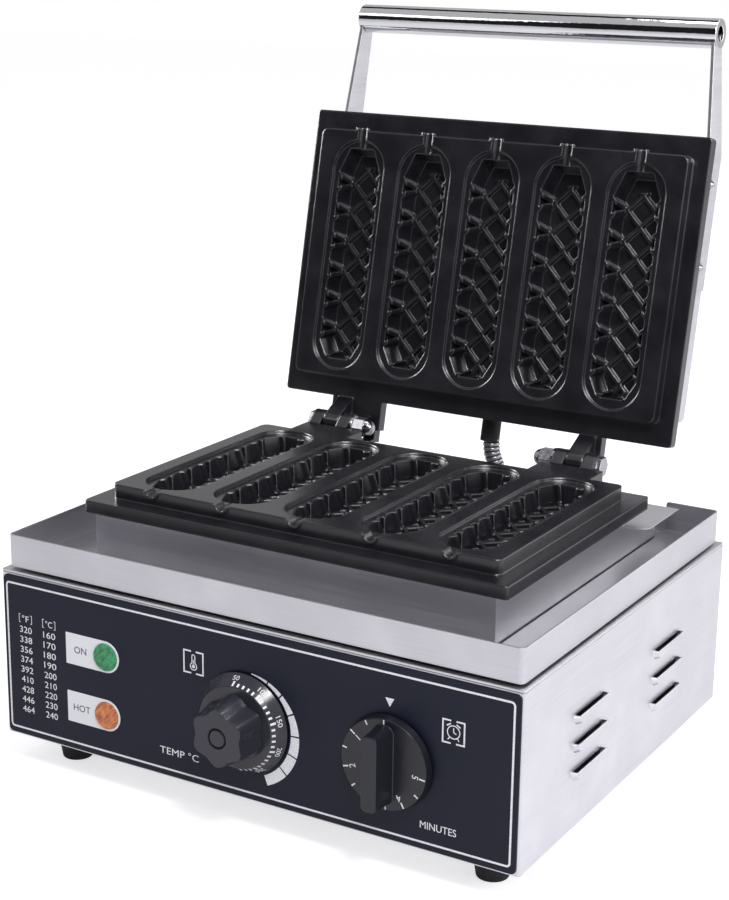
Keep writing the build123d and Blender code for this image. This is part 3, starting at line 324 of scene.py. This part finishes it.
# Four tapered feet of moulded rubber, each held by a zinc-plated screw in its recess
rubber = new_finish("moulded_rubber", {"Base Color": linear("#1c1c1e")})
rubber_place = add_node(rubber, "ShaderNodeTexCoord")
rubber_dust = add_node(rubber, "ShaderNodeTexNoise",
                       {"Vector": rubber_place.outputs["Object"], "Scale": 900.0, "Detail": 4.0})
rubber_rough = add_node(rubber, "ShaderNodeMapRange",
                        {"Value": rubber_dust.outputs["Fac"], "To Min": 0.6, "To Max": 0.9})
rubber_relief = add_node(rubber, "ShaderNodeBump",
                         {"Height": rubber_dust.outputs["Fac"], "Strength": 0.3,
                          "Distance": 0.0002})
feed(rubber, {"Roughness": rubber_rough.outputs["Result"],
              "Normal": rubber_relief.outputs["Normal"]})
foot_edge = 0.0008
dress([f"foot_{number}" for number in (1, 2, 3, 4)], rubber, foot_edge)


def plated_steel(name, tint, roughness, fleck):
    """Plated steel, whose gloss varies in patches of the given size in metres."""
    material = new_finish(name, {"Base Color": linear(tint), "Metallic": 1.0})
    place = add_node(material, "ShaderNodeTexCoord")
    patches = add_node(material, "ShaderNodeTexNoise",
                       {"Vector": place.outputs["Object"], "Scale": 1 / fleck, "Detail": 3.0})
    rough = add_node(material, "ShaderNodeMapRange",
                     {"Value": patches.outputs["Fac"], "From Min": 0.3, "From Max": 0.7,
                      "To Min": roughness * 0.7, "To Max": roughness * 1.3})
    relief = add_node(material, "ShaderNodeBump",
                      {"Height": patches.outputs["Fac"], "Strength": 0.15,
                       "Distance": 0.1 * fleck})
    feed(material, {"Roughness": rough.outputs["Result"], "Normal": relief.outputs["Normal"]})
    return material


# Zinc plate: a soft grey with a slightly uneven gloss
zinc = plated_steel("zinc_plated_steel", "#aeb0b4", 0.34, 0.002)
screw_edge = 0.0003
dress([f"foot_screw_{number}" for number in (1, 2, 3, 4)], zinc, screw_edge)


# The control panel is a sheet with a printed film over it: satin blue-black, with white
# ink for its border, table, symbols and scale, all laid on the film as a thin coat.
panel_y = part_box("control_panel")[0][1]
ink_t = 0.00006
film = new_finish("satin_printed_film", {"Base Color": linear("#151828"), "IOR": 1.3})
film_place = add_node(film, "ShaderNodeTexCoord")
film_grain = add_node(film, "ShaderNodeTexNoise",
                      {"Vector": film_place.outputs["Object"], "Scale": 1500.0, "Detail": 3.0})
film_smears = add_node(film, "ShaderNodeTexNoise",
                       {"Vector": film_place.outputs["Object"], "Scale": 30.0, "Detail": 3.0})
film_gloss = add_node(film, "ShaderNodeMapRange",
                      {"Value": film_smears.outputs["Fac"], "From Min": 0.3, "From Max": 0.7,
                       "To Min": 0.36, "To Max": 0.44})
film_relief = add_node(film, "ShaderNodeBump",
                       {"Height": film_grain.outputs["Fac"], "Strength": 0.25,
                        "Distance": 0.00005})
feed(film, {"Roughness": film_gloss.outputs["Result"], "Normal": film_relief.outputs["Normal"]})
dress(["control_panel"], film, sheet_edge)


def band(left, right, closed=False):
    """Thin slab between two edges of points (u, v): its section is carried along them."""
    left, right = np.asarray(left, float), np.asarray(right, float)
    rows = len(left)
    low, high = np.zeros((rows, 1)), np.full((rows, 1), ink_t)
    section = [np.hstack((left, low)), np.hstack((right, low)),
               np.hstack((right, high)), np.hstack((left, high))]
    faces = closed_grid_faces(rows, 4)[:, ::-1]
    if not closed:
        end = 4 * (rows - 1)
        faces = [tuple(face) for face in faces[:end]] + [(3, 2, 1, 0),
                                                         (end, end + 1, end + 2, end + 3)]
    return np.stack(section, axis=1).reshape(-1, 3), faces


def stroke(line, width, closed=False):
    """Line of ink of one width through points (u, v), with mitred corners."""
    line = np.asarray(line, float)
    before = line - np.roll(line, 1, axis=0)
    after = np.roll(line, -1, axis=0) - line
    if not closed:
        before[0], after[-1] = after[0], before[-1]
    before /= np.linalg.norm(before, axis=1, keepdims=True)
    after /= np.linalg.norm(after, axis=1, keepdims=True)
    middle = before + after
    middle /= np.linalg.norm(middle, axis=1, keepdims=True)
    square = np.stack((-middle[:, 1], middle[:, 0]), axis=1)
    reach = width / 2 / np.sum(middle * after, axis=1, keepdims=True)
    return band(line + square * reach, line - square * reach, closed)


def ring(centre, radius, width, sides=32):
    """Closed circle of ink."""
    turn = np.linspace(0, 2 * pi, sides, endpoint=False)
    circle = np.stack((np.cos(turn), np.sin(turn)), axis=1)
    return band(np.asarray(centre) + circle * (radius - width / 2),
                np.asarray(centre) + circle * (radius + width / 2), closed=True)


def word(text, height, centre, width=None):
    """Letters as a thin slab, scaled to a height and, if it is given, to a width."""
    curve = bpy.data.curves.new("word", "FONT")
    curve.body = text
    curve.resolution_u = 4
    curve.extrude = 0.5
    holder = bpy.data.objects.new("word", curve)
    bpy.context.scene.collection.objects.link(holder)
    mesh = bpy.data.meshes.new_from_object(holder)
    points = np.empty(3 * len(mesh.vertices))
    mesh.vertices.foreach_get("co", points)
    points = points.reshape(-1, 3)
    faces = [tuple(polygon.vertices) for polygon in mesh.polygons]
    bpy.data.objects.remove(holder)
    bpy.data.meshes.remove(mesh)
    bpy.data.curves.remove(curve)
    low, high = points.min(axis=0), points.max(axis=0)
    scale = height / (high[1] - low[1])
    stretch = scale if width is None else width / (high[0] - low[0])
    middle = (low + high) / 2
    points = (points - middle) * (stretch, scale, ink_t) + (*centre, ink_t / 2)
    return points, faces


def join(pieces):
    """Several pairs of points and faces as one pair."""
    points, faces, count = [], [], 0
    for piece_points, piece_faces in pieces:
        points.append(piece_points)
        faces.extend(tuple(int(corner) + count for corner in face) for face in piece_faces)
        count += len(piece_points)
    return np.concatenate(points), faces


def on_panel(points, height=0.0):
    """Place (u, v, n) on the panel: u across, v up, n out of its face."""
    return np.stack((points[:, 0], panel_y - height - points[:, 2], points[:, 1]), axis=1)


def print_piece(name, pieces, place, material, body):
    """One piece of ink from several slabs, put in place and riding on a body."""
    points, faces = join(pieces)
    piece = new_piece(name, place(points), faces, material)
    piece.data.polygons.foreach_set("use_smooth", np.zeros(len(faces), dtype=bool))
    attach(piece, body)
    return piece


# Screen-printed white ink: dense, slightly uneven, with little gloss
ink = new_finish("white_screen_ink", {"Roughness": 0.5})
ink_place = add_node(ink, "ShaderNodeTexCoord")
ink_cover = add_node(ink, "ShaderNodeTexNoise",
                     {"Vector": ink_place.outputs["Object"], "Scale": 900.0, "Detail": 3.0})
ink_tint = add_node(ink, "ShaderNodeValToRGB", {"Fac": ink_cover.outputs["Fac"]})
ink_tint.color_ramp.elements[0].position = 0.25
ink_tint.color_ramp.elements[0].color = linear("#c9c9d0")
ink_tint.color_ramp.elements[1].position = 0.6
ink_tint.color_ramp.elements[1].color = linear("#ececf1")
feed(ink, {"Base Color": ink_tint.outputs["Color"]})

border_low, border_high = np.array([-0.1854, 0.0277]), np.array([0.1843, 0.1289])
border_r = 0.0022
border_w = 0.0013
quarter = np.linspace(0, pi / 2, 7)
border_line = np.concatenate([
    corner + border_r * np.stack((np.cos(quarter + turn), np.sin(quarter + turn)), axis=1)
    for corner, turn in (
        ((border_high[0] - border_r, border_high[1] - border_r), 0),
        ((border_low[0] + border_r, border_high[1] - border_r), pi / 2),
        ((border_low[0] + border_r, border_low[1] + border_r), pi),
        ((border_high[0] - border_r, border_low[1] + border_r), 3 * pi / 2))])
print_piece("panel_border_line", [stroke(border_line, border_w, closed=True)],
            on_panel, ink, "base")

table_columns = (-0.1706, -0.1510)
table_head_z = 0.1057
table_top_z = 0.0980
table_pitch = 0.0070
table_rows = 9
digit_h = 0.0044
number_w = 0.0100
unit_w = 0.0056
post_out, hook_l, post_half, post_w = 0.0052, 0.0012, 0.0028, 0.0004
table = []
for column, (unit, first, step) in zip(table_columns, (("°F", 320, 18), ("°C", 160, 10))):
    table.append(word(unit, digit_h, (column, table_head_z), unit_w))
    for side in (-1, 1):
        post = column + side * post_out
        hook = post - side * hook_l
        table.append(stroke([(hook, table_head_z + post_half), (post, table_head_z + post_half),
                             (post, table_head_z - post_half), (hook, table_head_z - post_half)],
                            post_w))
    for row in range(table_rows):
        table.append(word(str(first + row * step), digit_h,
                          (column, table_top_z - row * table_pitch), number_w))
print_piece("temperature_table", table, on_panel, ink, "base")


def bracketed(centre, half, width):
    """Square frame, open in the middle of its top and bottom."""
    x, z = centre
    return [stroke([(x + side * half / 4, z + half), (x + side * half, z + half),
                    (x + side * half, z - half), (x + side * half / 4, z - half)], width)
            for side in (-1, 1)]


# The thermometer is a bulb and a stem in outline, with its liquid as a dot and a line
bracket_w, symbol_line_w = 0.0010, 0.0006
thermometer_x, thermometer_z, thermometer_half = -0.0361, 0.1047, 0.0072
bulb_r, bulb_drop, stem_r, stem_rise = 0.0024, 0.0026, 0.0011, 0.0040
liquid_r, liquid_w, liquid_low, liquid_high = 0.0006, 0.0012, 0.0020, 0.0018
thermometer = bracketed((thermometer_x, thermometer_z), thermometer_half, bracket_w)
bulb_turn = np.linspace(radians(-62), radians(242), 25)
bulb_line = np.stack((bulb_r * np.cos(bulb_turn), -bulb_r * np.sin(bulb_turn)), axis=1)
bulb_line = bulb_line[::-1] + (thermometer_x, thermometer_z - bulb_drop)
top_turn = np.linspace(0, pi, 9)
stem_top = np.stack((stem_r * np.cos(top_turn), stem_r * np.sin(top_turn)), axis=1)
stem_top = stem_top + (thermometer_x, thermometer_z + stem_rise)
thermometer.append(stroke(np.concatenate((bulb_line, stem_top)), symbol_line_w, closed=True))
thermometer.append(ring((thermometer_x, thermometer_z - bulb_drop), liquid_r, liquid_w, 20))
thermometer.append(stroke([(thermometer_x, thermometer_z - liquid_low),
                           (thermometer_x, thermometer_z + liquid_high)], symbol_line_w))
print_piece("thermometer_symbol", thermometer, on_panel, ink, "base")

# The clock has a face, two hands, and two bells and feet, given as (x, z) from its middle
clock_x, clock_z, clock_half, clock_r = 0.1461, 0.1019, 0.0070, 0.0040
long_hand, short_hand = (0.0, 0.0026), (0.0018, -0.0010)
bell_in, bell_out, bell_w = (0.0018, 0.0052), (0.0044, 0.0036), 0.0008
foot_in, foot_out = (0.0026, -0.0034), (0.0036, -0.0050)
clock = bracketed((clock_x, clock_z), clock_half, bracket_w)
clock.append(ring((clock_x, clock_z), clock_r, symbol_line_w))
clock.append(stroke([(clock_x + long_hand[0], clock_z + long_hand[1]), (clock_x, clock_z),
                     (clock_x + short_hand[0], clock_z + short_hand[1])], symbol_line_w))
for side in (-1, 1):
    for start, end, width in ((bell_in, bell_out, bell_w), (foot_in, foot_out, symbol_line_w)):
        clock.append(stroke([(clock_x + side * start[0], clock_z + start[1]),
                             (clock_x + side * end[0], clock_z + end[1])], width))
print_piece("clock_symbol", clock, on_panel, ink, "base")

mark_x, mark_low, mark_high, mark_half = 0.1039, 0.1080, 0.1133, 0.0030
print_piece("timer_marker", [band([(mark_x - mark_half, mark_high), (mark_x - 0.0001, mark_low)],
                                  [(mark_x + mark_half, mark_high), (mark_x + 0.0001, mark_low)])],
            on_panel, ink, "base")
captions = (("TEMP °C", 0.0050, (-0.0480, 0.0404), 0.0300),
            ("MINUTES", 0.0046, (0.1375, 0.0390), 0.0240))
print_piece("panel_captions",
            [word(caption, height, centre, width) for caption, height, centre, width in captions],
            on_panel, ink, "base")

# The printed scale beside the dial is the space between two circles, in seven fields
scale_centre = np.array([0.0052, 0.0710])
scale_outer, scale_outer_r = np.array([0.0044, 0.0701]), 0.0371
scale_inner, scale_inner_r = np.array([0.0015, 0.0728]), 0.0341
scale_cuts = (2.0, 22.7, 41.6, 63.0, 86.8, 110.0, 132.7, 160.0)
scale_cut_w = 0.0011


def on_circle(turns, centre, radius):
    """Points of a circle on rays from the scale's centre, at turns clockwise from the top."""
    rays = np.stack((np.sin(turns), np.cos(turns)), axis=1)
    away = centre - scale_centre
    lean = rays @ away
    return scale_centre + rays * (lean + np.sqrt(lean ** 2 + radius ** 2 - away @ away))[:, None]


fields = []
for start, end in zip(scale_cuts, scale_cuts[1:]):
    trim = scale_cut_w / 2 / scale_outer_r
    turns = np.linspace(radians(start) + trim, radians(end) - trim, 9)
    fields.append(band(on_circle(turns, scale_outer, scale_outer_r),
                       on_circle(turns, scale_inner, scale_inner_r)))
print_piece("dial_side_scale", fields, on_panel, ink, "base")


# Each lamp is a ribbed lens of tinted acrylic pushed through the panel, with a white
# label plate round it and a black body behind. The plates carry a short printed word.
label_t = 0.0006
lamp_heights = {"green": 0.0934, "orange": 0.0532}
label_words = {"green": "ON", "orange": "HOT"}
label_word_x, label_word_h = -0.1250, 0.0046
label_edge = lens_edge = 0.0002
moulded_edge = 0.0004
label_finish = new_finish("white_moulded_abs", {"Base Color": linear("#e6e6ec")})
label_place = add_node(label_finish, "ShaderNodeTexCoord")
label_grain = add_node(label_finish, "ShaderNodeTexNoise",
                       {"Vector": label_place.outputs["Object"], "Scale": 700.0, "Detail": 3.0})
label_rough = add_node(label_finish, "ShaderNodeMapRange",
                       {"Value": label_grain.outputs["Fac"], "To Min": 0.3, "To Max": 0.5})
feed(label_finish, {"Roughness": label_rough.outputs["Result"]})
dress(["label_plate_green", "label_plate_orange"], label_finish, label_edge)


def moulded_plastic(name, tint, roughness):
    """Dark moulded plastic, with a fine, even texture from the mould."""
    material = new_finish(name, {"Base Color": linear(tint)})
    place = add_node(material, "ShaderNodeTexCoord")
    grain = add_node(material, "ShaderNodeTexNoise",
                     {"Vector": place.outputs["Object"], "Scale": 1600.0, "Detail": 3.0})
    rub = add_node(material, "ShaderNodeTexNoise",
                   {"Vector": place.outputs["Object"], "Scale": 90.0, "Detail": 3.0})
    rough = add_node(material, "ShaderNodeMapRange",
                     {"Value": rub.outputs["Fac"], "From Min": 0.3, "From Max": 0.7,
                      "To Min": roughness - 0.05, "To Max": roughness + 0.05})
    relief = add_node(material, "ShaderNodeBump",
                      {"Height": grain.outputs["Fac"], "Strength": 0.25, "Distance": 0.00008})
    feed(material, {"Roughness": rough.outputs["Result"], "Normal": relief.outputs["Normal"]})
    return material


# Black ABS, nearly black
black_plastic = moulded_plastic("black_moulded_abs", "#15161e", 0.32)
dress(["lamp_body_green", "lamp_body_orange", "thermostat_body", "timer_body", "cord_gland"],
      black_plastic, moulded_edge)

# Tinted acrylic: a clear gloss over a colour mottled at random into painted light and shade, for
# the light that the ribs behind it break up
for colour, dark, light in (("green", "#0b6b3c", "#35b274"), ("orange", "#a8501a", "#e8914e")):
    lens = new_finish(f"{colour}_ribbed_acrylic", {"Roughness": 0.16, "Coat Weight": 0.4,
                                                   "Subsurface Weight": 0.25,
                                                   "Subsurface Scale": 0.004})
    lens_place = add_node(lens, "ShaderNodeTexCoord")
    lens_painted_light_mottle = add_node(lens, "ShaderNodeTexNoise",
                           {"Vector": lens_place.outputs["Object"], "Scale": 260.0,
                            "Detail": 2.0})
    lens_tint = add_node(lens, "ShaderNodeValToRGB", {"Fac": lens_painted_light_mottle.outputs["Fac"]})
    lens_tint.color_ramp.elements[0].position = 0.3
    lens_tint.color_ramp.elements[0].color = linear(dark)
    lens_tint.color_ramp.elements[1].position = 0.75
    lens_tint.color_ramp.elements[1].color = linear(light)
    feed(lens, {"Base Color": lens_tint.outputs["Color"]})
    dress([f"lamp_lens_{colour}"], lens, lens_edge)

# The words on the label plates are printed in a dark grey ink
dark_ink = new_finish("dark_screen_ink", {"Base Color": linear("#3c3c44")})
dark_place = add_node(dark_ink, "ShaderNodeTexCoord")
dark_cover = add_node(dark_ink, "ShaderNodeTexNoise",
                      {"Vector": dark_place.outputs["Object"], "Scale": 900.0, "Detail": 3.0})
dark_rough = add_node(dark_ink, "ShaderNodeMapRange",
                      {"Value": dark_cover.outputs["Fac"], "To Min": 0.35, "To Max": 0.55})
feed(dark_ink, {"Roughness": dark_rough.outputs["Result"]})
for colour, height in lamp_heights.items():
    print_piece(f"label_word_{colour}",
                [word(label_words[colour], label_word_h, (label_word_x, height))],
                lambda points: on_panel(points, label_t), dark_ink, "base")


# The thermostat's dial is a charcoal cone with white strokes and numbers, and its grip a
# lobed knob in the same plastic. Both are pressed on the thermostat's steel spindle.
dial_x, dial_z = 0.0017, 0.0740
dial_back_r, dial_front_r = 0.0330, 0.0265
dial_depth_back, dial_depth_front = 0.0020, 0.0105
dial_first, dial_step = -4.0, 7.7
dial_edge = 0.0005
grey_plastic = moulded_plastic("charcoal_phenolic", "#2a2a33", 0.23)
dress(["thermostat_dial", "thermostat_grip"], grey_plastic, dial_edge)


def on_dial(points):
    """Place (turn, slant, n) on the cone: turn clockwise from the top, slant from its rim."""
    length = np.hypot(dial_back_r - dial_front_r, dial_depth_front - dial_depth_back)
    fall = (dial_depth_front - dial_depth_back) / length
    spread = (dial_back_r - dial_front_r) / length
    turn, slant, lift = points.T
    radius = dial_front_r + spread * slant + fall * lift
    depth = dial_depth_front - fall * slant + spread * lift
    return np.stack((dial_x + radius * np.sin(turn), panel_y - depth,
                     dial_z + radius * np.cos(turn)), axis=1)


def turned(piece, angle, radius):
    """Slab (u, v, n) as (turn, slant, n) at an angle, for a ring of the given radius."""
    points, faces = piece
    points = np.array(points)
    points[:, 0] = radians(angle) + points[:, 0] / radius
    return points, faces


dial_ticks, ticks_per_number = 24, 5
tick_start, tick_end, long_tick_end, tick_w, tick_r = 0.0006, 0.0030, 0.0042, 0.0014, 0.0280
dial_number_h, dial_digit_w, dial_number_in, dial_number_r = 0.0032, 0.0022, 0.0066, 0.0300
dial_marks = []
for tick in range(dial_ticks):
    angle = dial_first + tick * dial_step
    reach = long_tick_end if tick % ticks_per_number == 0 else tick_end
    dial_marks.append(turned(stroke([(0, tick_start), (0, reach)], tick_w), angle, tick_r))
for place, number in enumerate((50, 100, 150, 200, 250)):
    angle = dial_first + place * ticks_per_number * dial_step
    dial_marks.append(turned(word(str(number), dial_number_h, (0, dial_number_in),
                                  dial_digit_w * len(str(number))), angle, dial_number_r))
print_piece("dial_marks", dial_marks, on_dial, ink, "thermostat_knob")


# The timer's knob is a shallow black disc with a bar across it; white strokes and the
# numbers of its minutes run anticlockwise round the disc.
timer_x, timer_z = 0.1040, 0.0740
timer_face = 0.0070
timer_rim = 0.0282
minute_turn = -52.6
timer_edge, spindle_edge = 0.0006, 0.0002
dress(["timer_knob"], black_plastic, timer_edge)
# Nickel plate: a slightly warm, bright mirror, softened by fine scratches
bright = plated_steel("nickel_plated_steel", "#adadb2", 0.16, 0.003)
dress(["thermostat_spindle", "timer_spindle"], bright, spindle_edge)


def on_timer(points):
    """Place (turn, inward, n) on the disc: turn clockwise from the top, inward from its rim."""
    turn, inward, lift = points.T
    radius = timer_rim - inward
    return np.stack((timer_x + radius * np.sin(turn), panel_y - timer_face - lift,
                     timer_z + radius * np.cos(turn)), axis=1)


def disc_mark(piece, angle, middle):
    """Slab (u, v, n) upright at an angle, its middle so far inward from the rim."""
    points, faces = piece
    u, v, lift = np.array(points).T
    radius = timer_rim - middle
    outward = radius + v
    turn = radians(angle) + np.arctan2(u, outward)
    return np.stack((turn, timer_rim - np.hypot(u, outward), lift), axis=1), faces


half_minutes = 11
minute_l, half_minute_l, minute_w = 0.0038, 0.0030, 0.0009
minute_digit_h, minute_digit_in = 0.0042, 0.0066
timer_marks = []
for half in range(half_minutes):
    whole = half % 2 == 0
    length = minute_l if whole else half_minute_l
    angle = half / 2 * minute_turn
    timer_marks.append(disc_mark(stroke([(0, -length / 2), (0, length / 2)], minute_w),
                                 angle, length / 2))
    if whole:
        timer_marks.append(disc_mark(word(str(half // 2), minute_digit_h, (0, 0)),
                                     angle, minute_digit_in))
print_piece("timer_marks", timer_marks, on_timer, ink, "timer_control")


# Inside the base: a ceramic terminal block for the mains wires, and the bulb and copper
# capillary tube by which the thermostat feels the lower plate.
ceramic = new_finish("glazed_ceramic", {"Base Color": linear("#e3ded2"), "Coat Weight": 0.5})
ceramic_place = add_node(ceramic, "ShaderNodeTexCoord")
ceramic_glaze = add_node(ceramic, "ShaderNodeTexNoise",
                         {"Vector": ceramic_place.outputs["Object"], "Scale": 200.0})
ceramic_rough = add_node(ceramic, "ShaderNodeMapRange",
                         {"Value": ceramic_glaze.outputs["Fac"], "To Min": 0.2, "To Max": 0.4})
feed(ceramic, {"Roughness": ceramic_rough.outputs["Result"]})
block_edge, bulb_edge = 0.0004, 0.0002
dress(["terminal_block"], ceramic, block_edge)
# Drawn copper: warm and satin, a little uneven
copper = plated_steel("drawn_copper", "#c27d55", 0.3, 0.002)
dress(["thermostat_bulb"], copper, bulb_edge)


# The drip tray is folded from stainless sheet and slides out over the deck. Its finish is a
# darker copy of the casing's brushed steel, with the difference being painted shade. The plate
# housing is of the same sheet; it and its rear cover stand on the deck and carry the lower plate.
shaded_tray_steel = brushed_steel("shaded_brushed_tray_steel", "#d3d2d7", "#c3c2c8", 0.34, brush_depth)
dress(["drip_tray", "plate_housing"], shaded_tray_steel, sheet_edge)
dress(["rear_cover"], casing_steel, sheet_edge)


# Both plates are castings, sprayed with a black non-stick coat: nearly black, satin,
# with the fine grain of the spray. The hinge lugs are cast on.
casting_edge = 0.0019
nonstick = new_finish("black_nonstick_coat", {"IOR": 1.6})
coat_place = add_node(nonstick, "ShaderNodeTexCoord")
coat_grain = add_node(nonstick, "ShaderNodeTexNoise",
                      {"Vector": coat_place.outputs["Object"], "Scale": 1100.0, "Detail": 4.0})
coat_clouds = add_node(nonstick, "ShaderNodeTexNoise",
                       {"Vector": coat_place.outputs["Object"], "Scale": 45.0, "Detail": 3.0})
coat_tint = add_node(nonstick, "ShaderNodeValToRGB", {"Fac": coat_clouds.outputs["Fac"]})
coat_tint.color_ramp.elements[0].position = 0.3
coat_tint.color_ramp.elements[0].color = linear("#141419")
coat_tint.color_ramp.elements[1].position = 0.75
coat_tint.color_ramp.elements[1].color = linear("#1b1b21")
coat_rough = add_node(nonstick, "ShaderNodeMapRange",
                      {"Value": coat_clouds.outputs["Fac"], "From Min": 0.3, "From Max": 0.7,
                       "To Min": 0.2, "To Max": 0.27})
# The casting's edges are rounded by the shader, which suits its many small bars
coat_edges = add_node(nonstick, "ShaderNodeBevel", {"Radius": casting_edge}, samples=6)
coat_relief = add_node(nonstick, "ShaderNodeBump",
                       {"Height": coat_grain.outputs["Fac"], "Strength": 0.25,
                        "Distance": 0.0001, "Normal": coat_edges.outputs["Normal"]})
feed(nonstick, {"Base Color": coat_tint.outputs["Color"],
                "Roughness": coat_rough.outputs["Result"],
                "Normal": coat_relief.outputs["Normal"]})
for name in ("lower_plate", "upper_plate"):
    split_folds = coat_node(name, nonstick).modifiers.new("split_folds", "EDGE_SPLIT")
    split_folds.split_angle = fold_angle


# Behind each plate lies a tubular heater with a dull sheath, held by a zinc-plated
# sheet shield; both plates hide them.
heater_edge = 0.0002
sheath = plated_steel("oxidised_heater_sheath", "#5b5a55", 0.5, 0.003)
dress(["lower_heater", "upper_heater"], sheath, heater_edge)
dress(["lower_shield", "upper_shield"], zinc, heater_edge)


# Two bolts with washers and domed nuts, nickel-plated, are the hinge's pins. The elbow
# gland of the conduit has the same finish.
hinge_edge = 0.0004
dress(["hinge_bolt_left", "hinge_bolt_right", "hinge_washer_left", "hinge_washer_right",
       "hinge_nut_left", "hinge_nut_right", "conduit_gland"], bright, hinge_edge)


# The lid's cover is a drawn stainless box; its handle is a chromed tube held by two bent
# straps, each fixed to the cover by two bolts with domed nuts.
dress(["lid_cover"], casing_steel, sheet_edge)
strap_edge, strap_bolt_edge, tube_edge, sleeve_edge = 0.0004, 0.0003, 0.0006, 0.0003
# The straps are the casing's stainless, in a darker and rougher copy; the darker tint is painted
# shade
shaded_strap_steel = brushed_steel("shaded_brushed_strap_steel", "#d2d1d6", "#c2c1c7", 0.38, brush_depth)
dress(["handle_strap_left", "handle_strap_right"], shaded_strap_steel, strap_edge)
dress(["strap_bolt_left_front", "strap_bolt_left_rear", "strap_bolt_right_front",
       "strap_bolt_right_rear"], bright, strap_bolt_edge)
# Polished chrome: an almost clear mirror, wavy over a dozen millimetres
chrome = plated_steel("polished_chrome_tube", "#e2e2e6", 0.06, 0.012)
dress(["handle_tube"], chrome, tube_edge)
dress(["conduit_sleeve"], rubber, sleeve_edge)


# The stage is a pale floor that keeps the machine's soft shadow, under plain soft lamps.
# The camera sees the floor and the world as white, and reflections see them less bright.
floor_half = 6.0
floor_tint = "#d4d4d8"
floor_glow = 0.62
floor_mirror_glow = 0.2
world_white = 1.0
world_fill = 0.54

floor_finish = new_finish("pale_floor", {"Base Color": linear(floor_tint), "Roughness": 0.9,
                                         "Emission Color": (1.0, 1.0, 1.0, 1.0)})
floor_path = add_node(floor_finish, "ShaderNodeLightPath")
floor_mirrored = add_node(floor_finish, "ShaderNodeMath",
                          {0: floor_path.outputs["Is Glossy Ray"], 1: floor_mirror_glow},
                          operation="MULTIPLY")
floor_light = add_node(floor_finish, "ShaderNodeMath",
                       {0: floor_path.outputs["Is Camera Ray"], 1: floor_glow,
                        2: floor_mirrored.outputs["Value"]}, operation="MULTIPLY_ADD")
feed(floor_finish, {"Emission Strength": floor_light.outputs["Value"]})


def card(name, corners, finish):
    """Flat stage piece through four corners."""
    mesh = bpy.data.meshes.new(name)
    mesh.from_pydata(corners, [], [(0, 1, 2, 3)])
    mesh.materials.append(finish)
    piece = bpy.data.objects.new(name, mesh)
    bpy.context.scene.collection.objects.link(piece)
    return piece


card("floor", [(-floor_half, -floor_half, 0), (floor_half, -floor_half, 0),
               (floor_half, floor_half, 0), (-floor_half, floor_half, 0)], floor_finish)

# A dark curtain behind the camera and a dark beam overhead show only in reflections, as
# the unlit parts of the room do
curtain_y, curtain_left, curtain_right = -2.6, -4.0, 3.0
curtain_low, curtain_high = 0.35, 2.9
beam_front, beam_back, beam_half, beam_z = 0.35, 0.85, 1.6, 1.7
curtain_cloth = new_finish("dark_curtain", {"Base Color": linear("#17171c"), "Roughness": 1.0})
curtain = card("dark_curtain", [(curtain_left, curtain_y, curtain_low),
                                (curtain_right, curtain_y, curtain_low),
                                (curtain_right, curtain_y, curtain_high),
                                (curtain_left, curtain_y, curtain_high)], curtain_cloth)
beam = card("dark_beam", [(-beam_half, beam_front, beam_z), (beam_half, beam_front, beam_z),
                          (beam_half, beam_back, beam_z), (-beam_half, beam_back, beam_z)],
            curtain_cloth)
for mask in (curtain, beam):
    mask.visible_camera = False
    mask.visible_diffuse = False
    mask.visible_shadow = False
    mask.visible_transmission = False

world = bpy.data.worlds.new("white_room")
world.use_nodes = True
world_path = add_node(world, "ShaderNodeLightPath")
world_strength = add_node(world, "ShaderNodeMapRange",
                          {"Value": world_path.outputs["Is Camera Ray"], "To Min": world_fill,
                           "To Max": world_white})
backdrop = world.node_tree.nodes["Background"]
backdrop.inputs["Color"].default_value = (1.0, 1.0, 1.0, 1.0)
world.node_tree.links.new(world_strength.outputs["Result"], backdrop.inputs["Strength"])
bpy.context.scene.world = world


def softbox(name, place, aim, size, watts):
    """Square area lamp at a place, turned towards the point that it is aimed at."""
    lamp = bpy.data.lights.new(name, "AREA")
    lamp.size = size
    lamp.energy = watts
    holder = bpy.data.objects.new(name, lamp)
    turn = (Vector(place) - Vector(aim)).to_track_quat("Z", "Y")
    holder.matrix_world = Matrix.Translation(place) @ turn.to_matrix().to_4x4()
    bpy.context.scene.collection.objects.link(holder)
    return holder


key_place, left_place = (0.8, -0.85, 1.45), (-1.3, 0.1, 0.75)
base_middle, lid_middle = (0, 0, 0.2), (0, 0, 0.3)
softbox("key_lamp", key_place, base_middle, 0.35, 15.0)
softbox("front_lamp", (-1.1, -1.2, 1.5), base_middle, 0.5, 1.5)
softbox("side_lamp", (1.6, -0.2, 0.9), base_middle, 0.9, 9.0)
softbox("rear_lamp", (1.7, 1.5, 0.9), base_middle, 1.4, 16.0)
softbox("top_lamp", (0.0, 0.3, 1.9), base_middle, 1.0, 9.0)

# Two lamps give the castings their crisp highlights; they light nothing else
castings = bpy.data.collections.new("castings")
for name in ("lower_plate", "upper_plate"):
    castings.objects.link(nodes[name])
for spark in (softbox("right_spark", key_place, lid_middle, 0.8, 40.0),
              softbox("left_spark", left_place, lid_middle, 0.6, 25.0)):
    spark.visible_diffuse = False
    spark.light_linking.receiver_collection = castings

bpy.context.scene.view_settings.view_transform = "Standard"
